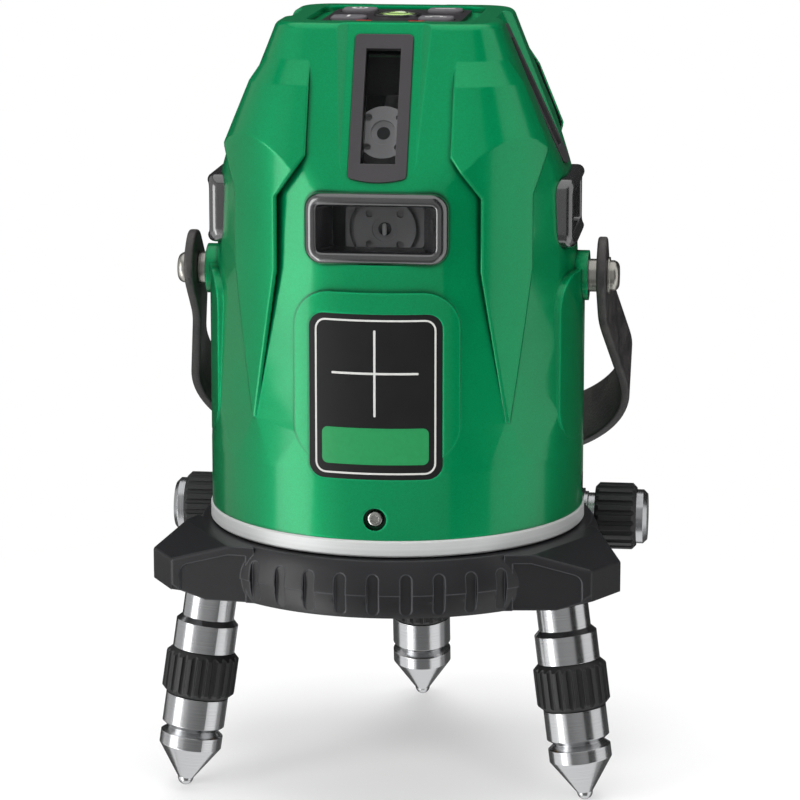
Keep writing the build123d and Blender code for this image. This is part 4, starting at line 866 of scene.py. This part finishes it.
def print_piece(name, bm, ink):
    """Give a flat print its thickness and bend it round the front of the cover."""
    thick = bmesh.ops.extrude_face_region(bm, geom=bm.faces[:])["geom"]
    bmesh.ops.translate(bm, verts=verts_of(thick), vec=(0, 0, INK_T / 2))
    for step in range(1, LABEL_STRIPS):
        cut = -LABEL_HALF_W + 2 * LABEL_HALF_W * step / LABEL_STRIPS
        bmesh.ops.bisect_plane(bm, geom=bm.verts[:] + bm.edges[:] + bm.faces[:], plane_co=(cut, 0, 0),
                               plane_no=(1, 0, 0))
    for v in bm.verts:
        reach = LABEL_R + PRINT_PROUD + v.co.z
        turn = v.co.x / LABEL_R
        v.co = (reach * sin(turn), -reach * cos(turn), LABEL_MID + v.co.y)
    bmesh.ops.recalc_face_normals(bm, faces=bm.faces)
    piece(name, bm, ink, "instrument", "label_black")


print("label", 2 * LABEL_HALF_W, "x", 2 * LABEL_HALF_H, "mm")

# %% Label
FRAME_INSET = 1.4
FRAME_CORNER = 3.0
FRAME_LINE = 0.5
FIELD_Y = -13.4
FIELD_INSET = 3.4
FIELD_HALF_H = 5.0
FIELD_CORNER = 1.6
CROSS_Y = 6.5
CROSS_HALF = 11.8
CROSS_HALF_LINE = 0.3
CROSS_CORNER = 0.25

frame_print = bmesh.new()
rounded_sheet(frame_print, 0, LABEL_HALF_W - FRAME_INSET, LABEL_HALF_H - FRAME_INSET, FRAME_CORNER)
bmesh.ops.inset_region(frame_print, faces=frame_print.faces[:], thickness=FRAME_LINE, use_boundary=True,
                       use_even_offset=True)
middle = max(frame_print.faces, key=lambda face: face.calc_area())
bmesh.ops.delete(frame_print, geom=[middle], context="FACES_ONLY")
print_piece("label_frame_print", frame_print, INK_WHITE)

field_print = bmesh.new()
rounded_sheet(field_print, FIELD_Y, LABEL_HALF_W - FIELD_INSET, FIELD_HALF_H, FIELD_CORNER)
print_piece("label_field_print", field_print, INK_GREEN)

cross_print = bmesh.new()
rounded_sheet(cross_print, CROSS_Y, CROSS_HALF, CROSS_HALF_LINE, CROSS_CORNER)
rounded_sheet(cross_print, CROSS_Y, CROSS_HALF_LINE, CROSS_HALF, CROSS_CORNER)
print_piece("label_cross_print", cross_print, INK_WHITE)

# %% [markdown]
# ## Window bezels
# A bezel is a frame with a half-round rim and an opening that narrows inwards. A swept round profile
# would not follow the rounded corners as evenly as insets do: a block is pulled up from a rounded sheet,
# and small insets, each a little higher or lower, round its edge over and down into the opening. The rim
# is then draped over the curve of the cover, and one bezel is copied to the other sides.

# %% Rim
BEZEL_LOW, BEZEL_HIGH = [[value / MM for value in corner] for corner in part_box("bezel_front")]
BEZEL_FRONT_R = -BEZEL_LOW[1]
BEZEL_DEEP = BEZEL_HIGH[1] - BEZEL_LOW[1]
BEZEL_MID = (BEZEL_LOW[2] + BEZEL_HIGH[2]) / 2
BEZEL_HALF_W = BEZEL_HIGH[0]
BEZEL_HALF_H = (BEZEL_HIGH[2] - BEZEL_LOW[2]) / 2
BEZEL_CORNER = 4.6
RIM_OUTER_R = 1.9
RIM_INNER_R = 1.6
RIM_STEPS = 4


def round_over(bm, front):
    """Round the edge of a block up to its crown and down towards its middle."""
    turns = [step * pi / 2 / RIM_STEPS for step in range(RIM_STEPS + 1)]
    pairs = list(zip(turns, turns[1:]))
    up = [(RIM_OUTER_R * (cos(a) - cos(b)), RIM_OUTER_R * (sin(b) - sin(a))) for a, b in pairs]
    down = [(RIM_INNER_R * (sin(b) - sin(a)), RIM_INNER_R * (cos(b) - cos(a))) for a, b in pairs]
    for inset, rise in up + down:
        bmesh.ops.inset_region(bm, faces=front, thickness=inset, depth=rise, use_boundary=True,
                               use_even_offset=True)


print("rim", RIM_OUTER_R + RIM_INNER_R, "mm wide")

# %% Bezels
THROAT_HALF_W = 12.25
THROAT_HALF_H = 5.8


def window_bezels():
    """Four bezels on the sides of the cover."""
    bm = bmesh.new()
    rounded_sheet(bm, 0, BEZEL_HALF_W, BEZEL_HALF_H, BEZEL_CORNER)
    bmesh.ops.translate(bm, verts=bm.verts, vec=(0, 0, -BEZEL_DEEP))
    back = bm.faces[:]
    pulled = bmesh.ops.extrude_face_region(bm, geom=back)["geom"]
    bmesh.ops.translate(bm, verts=verts_of(pulled), vec=(0, 0, BEZEL_DEEP - RIM_OUTER_R))
    front = faces_of(pulled)
    round_over(bm, front)
    mouth = list(front[0].edges)
    for v in bm.verts:
        if v.co.z > -BEZEL_DEEP / 2:
            v.co.z -= BEZEL_FRONT_R - (BEZEL_FRONT_R ** 2 - v.co.x ** 2) ** 0.5
    bmesh.ops.delete(bm, geom=front + back, context="FACES_ONLY")
    throat = verts_of(bmesh.ops.extrude_edge_only(bm, edges=mouth)["geom"])
    wide = max(v.co.x for v in throat)
    high = max(v.co.y for v in throat)
    bmesh.ops.scale(bm, vec=(THROAT_HALF_W / wide, THROAT_HALF_H / high, 0), verts=throat)
    bmesh.ops.translate(bm, verts=throat, vec=(0, 0, -BEZEL_DEEP))
    bmesh.ops.bridge_loops(bm, edges=[e for e in bm.edges if e.is_boundary])
    bmesh.ops.recalc_face_normals(bm, faces=bm.faces)
    bmesh.ops.rotate(bm, verts=bm.verts, cent=(0, 0, 0), matrix=Matrix.Rotation(pi / 2, 3, "X"))
    to_four_sides(bm, BEZEL_FRONT_R, BEZEL_MID)
    return bm


piece("window_bezels", window_bezels(), BEZEL_ABS, "instrument", "bezel_black", "bezel_front",
      "bezel_right", "bezel_back", "bezel_left")

# %% [markdown]
# ## Inside the windows
# Two small things show through the windows. The level lenses are glass rods: a beam that passes a rod
# fans out into a line. A rod is a lathe shape with rounded ends, copied to the four sides, and its
# near-white colour is a painted glint. A pad of black foam under the key board keeps stray light from
# crossing the housing from window to window.

# %% Rods
ROD_R = 0.6
ROD_HALF_L = 1.7
ROD_REACH = 30.1
ROD_LEVEL = 104.3
# Half of a rod's outline, in radii: distance from its axis, and from its end.
ROD_END = ((0, 0), (0.6, 0.15), (1, 0.6))

lower_end = [(r * ROD_R, back * ROD_R - ROD_HALF_L) for r, back in ROD_END]
rods = bmesh.new()
lathe(rods, lower_end + [(r, -z) for r, z in reversed(lower_end)], 20)
to_four_sides(rods, ROD_REACH, ROD_LEVEL)
# Painted glint: the rod is near white, to stand for the line of light in it.
ROD_PAINTED_GLINT = speckled("glass_rod_painted_glint", "eceeee", "f6f8f8", size=1.0, rough=0.1, Coat_Weight=0.8)
piece("lens_rods", rods, ROD_PAINTED_GLINT, "pendulum", "window_glass")

# %% Foam
PAD_W = 38.0
PAD_LOW = 139.5
PAD_HIGH = 150.0
PAD_CORNER = 6.0

foam = bmesh.new()
bmesh.ops.create_cube(foam, size=1.0)
bmesh.ops.scale(foam, vec=(PAD_W, PAD_W, PAD_HIGH - PAD_LOW), verts=foam.verts)
bmesh.ops.translate(foam, verts=foam.verts, vec=(0, 0, (PAD_HIGH + PAD_LOW) / 2))
upright = [e for e in foam.edges if abs(e.verts[0].co.z - e.verts[1].co.z) > PAD_CORNER]
bmesh.ops.bevel(foam, geom=upright, offset=PAD_CORNER, offset_type="OFFSET", affect="EDGES", segments=6,
                profile=0.5, material=-1)
# Black that gives nothing back.
FOAM = moulded("open_cell_black_foam", "1a1a1b", "262627", rough=0.9, grain=0.8, depth=0.2)
piece("foam_pad", foam, FOAM, "instrument", "panel_black")

# %% [markdown]
# ## Tripod thread
# The tripod thread is 5/8 inch with eleven turns to the inch. A thread is a spin that climbs by one
# pitch in each turn: the thread's section is turned round the axis while it moves along it.

# %% Thread
TRIPOD_PITCH = 25.4 / 11
TRIPOD_ROOT_R = 7.95
TRIPOD_CREST_R = 6.9
TRIPOD_LOW = 0.4
TRIPOD_TURNS = 4
TURN_STEPS = 32
# The section: radius, and height in shares of the pitch.
THREAD_SECTION = ((TRIPOD_ROOT_R, 0), (TRIPOD_ROOT_R, 0.84), (TRIPOD_CREST_R, 0.48),
                  (TRIPOD_CREST_R, 0.36))

thread = bmesh.new()
section = thread.faces.new([thread.verts.new((r, 0, TRIPOD_LOW + share * TRIPOD_PITCH))
                            for r, share in THREAD_SECTION])
bmesh.ops.spin(thread, geom=whole(section), cent=(0, 0, 0), axis=(0, 0, 1),
               dvec=(0, 0, TRIPOD_PITCH / TURN_STEPS), angle=2 * pi * TRIPOD_TURNS,
               steps=TRIPOD_TURNS * TURN_STEPS)
bmesh.ops.recalc_face_normals(thread, faces=thread.faces)
piece("tripod_thread", thread, BRASS, "base", "brass")

# %% [markdown]
# ## Floor
# The floor is a pale sheet under the leg tips that turns to plain white a little way off, and keeps the
# shadow near the object. Only rays that show it directly see the white, so it doesn't light the object.

# %% Studio helpers
def stage_piece(name, bm, mat):
    """Object of the studio, which isn't part of the tool."""
    made = linked(name, bm, mat)
    return made


def seen_directly(tree):
    """1 for rays that show the studio itself: to the camera, in gloss or through glass."""
    path = add(tree, "LightPath")
    seen = add(tree, "Math", {0: path.outputs["Is Camera Ray"], 1: path.outputs["Is Glossy Ray"]},
               operation="MAXIMUM")
    return add(tree, "Math", {0: seen, 1: path.outputs["Is Transmission Ray"]}, operation="MAXIMUM")


print("studio helpers ready")

# %% Floor
FLOOR_Z = CAD_BOX[0][2]
FLOOR_R = 9.0
SHADOW_REACH = (-0.10, 0.28)


def pale_floor():
    """Matte white paper that glows plain white away from the object."""
    mat = finish("pale_studio_floor", "f4f4f4", Roughness=0.9, Specular_IOR_Level=0.1)
    place = add(mat, "TexCoord").outputs["Object"]
    reach = add(mat, "VectorMath", {0: place}, operation="LENGTH")
    far = add(mat, "MapRange", {"Value": reach.outputs["Value"], "From Min": SHADOW_REACH[0],
                                "From Max": SHADOW_REACH[1]}, interpolation_type="SMOOTHSTEP")
    white = add(mat, "Math", {0: far, 1: seen_directly(mat)}, operation="MULTIPLY")
    glow = add(mat, "Emission", {"Strength": 1.0})
    matte = mat.node_tree.nodes["Principled BSDF"].outputs["BSDF"]
    both = add(mat, "MixShader", {0: white, 1: matte, 2: glow})
    surface = mat.node_tree.nodes["Material Output"].inputs["Surface"]
    mat.node_tree.links.new(both.outputs["Shader"], surface)
    return mat


sheet = bmesh.new()
bmesh.ops.create_circle(sheet, cap_ends=True, segments=64, radius=FLOOR_R,
                        matrix=Matrix.Translation((0, 0, FLOOR_Z)))
floor = stage_piece("studio_floor", sheet, pale_floor())
floor.visible_glossy = False
print("floor at", round(FLOOR_Z / MM, 1), "mm")

# %% [markdown]
# ## Reflections
# Matte surfaces show the lamps, polished ones show the room. A photographer sets the two apart: lamps
# for the light, and a drum of dark cloth with a few lit panels round the object for the reflections.
# Curved metal then gets the bright and dark bands that tell the eye it is round. The legs lean outwards
# and mirror the lower part of the drum, the cover mirrors its upper part, so the panels are split at one
# level and each half is set for what it serves. A panel is one upright edge, spun round the axis, and
# only reflections see it: the camera looks straight through.

# %% Panels
SPLIT = -0.12
PANEL_STEPS = 24
# Name, first and last bearing from the camera in degrees, radius, lower and upper edge in metres, glow.
PANELS = (
    ("dark_cloth_low", -180, 180, 0.60, -0.8, SPLIT, 0.1),
    ("dark_cloth_high", -180, 180, 0.60, SPLIT, 0.75, 0.03),
    ("back_silk", 156, 178, 0.55, -0.5, -0.02, 0.2),
    ("front_cloth_low", -30, 40, 0.58, -0.8, SPLIT, 0.2),
    ("front_cloth_high", -34, 30, 0.58, SPLIT, 0.75, 0.4),
    ("left_silk_low", -112, -30, 0.55, -0.7, SPLIT, 1.1),
    ("left_silk_high", -130, -34, 0.55, SPLIT, 0.60, 0.55),
    ("left_strip_low", -64, -46, 0.50, -0.6, SPLIT, 5.0),
    ("left_strip_high", -76, -52, 0.50, SPLIT, 0.30, 3.8),
    ("right_silk_low", 40, 88, 0.55, -0.7, SPLIT, 1.15),
    ("right_silk_high", 56, 98, 0.55, SPLIT, 0.75, 0.95),
    ("right_edge_silk", 88, 112, 0.55, -0.7, SPLIT, 0.35),
)

for name, begin, end, radius, low, high, glow in PANELS:
    panel = bmesh.new()
    first = CAMERA_TURN + radians(begin)
    line = [panel.verts.new((radius * sin(first), -radius * cos(first), z)) for z in (low, high)]
    bmesh.ops.spin(panel, geom=line + [panel.edges.new(line)], cent=(0, 0, 0), axis=(0, 0, 1),
                   dvec=(0, 0, 0), angle=radians(end - begin), steps=PANEL_STEPS)
    cloth = finish(name, "000000", Emission_Color=(1, 1, 1, 1), Emission_Strength=glow,
                   Specular_IOR_Level=0.0)
    made = stage_piece(name, panel, cloth)
    made.visible_camera = made.visible_diffuse = made.visible_shadow = made.visible_transmission = False
print("hung", len(PANELS), "panels")

# %% [markdown]
# ## Lamps
# A large lamp at the left front is the key. Weaker ones in front and at the right fill its shadows, one
# above lifts the top, one behind lights the back, and the room gives an even fill. They light matte
# colour only, because the panels already stand for them in the reflections. Together they are set so
# that a colour renders about as it is written.

# %% Lamps
LAMP_AIM = Vector((0, 0, 0.05))
# Name, place and size in metres, watts.
SOFT_BOXES = (
    ("left_box", (-0.9, -0.9, 0.55), (0.5, 0.9), 7.8),
    ("front_box", (-0.17, -1.2, 0.6), (0.5, 0.9), 4.5),
    ("right_box", (0.84, -0.93, 0.5), (0.4, 0.9), 4.0),
    ("top_box", (0.0, 0.1, 1.3), (1.0, 1.0), 15.0),
    ("back_box", (-0.2, 1.2, 0.7), (1.0, 0.8), 8.0),
)

for name, place, size, watts in SOFT_BOXES:
    data = bpy.data.lights.new(name, "AREA")
    data.shape = "RECTANGLE"
    data.size, data.size_y = size
    data.energy = watts
    lamp = bpy.data.objects.new(name, data)
    lamp.location = place
    lamp.rotation_euler = (LAMP_AIM - Vector(place)).to_track_quat("-Z", "Y").to_euler()
    lamp.visible_glossy = False
    bpy.context.scene.collection.objects.link(lamp)
print("lit with", len(SOFT_BOXES), "lamps")

# %% Room
ROOM_FILL = 0.22

world = bpy.data.worlds.new("studio_room")
world.use_nodes = True
bpy.context.scene.world = world
backdrop = world.node_tree.nodes["Background"]
backdrop.inputs["Color"].default_value = (1, 1, 1, 1)
room = add(world, "MapRange", {"Value": seen_directly(world), "To Min": ROOM_FILL, "To Max": 1.0})
world.node_tree.links.new(room.outputs["Result"], backdrop.inputs["Strength"])
bpy.context.scene.view_settings.view_transform = "Standard"
print("room filled to", ROOM_FILL)

# %% [markdown]
# ## Done
# The finished look may not outgrow the solid model.

# %% Finish
print("scene built")
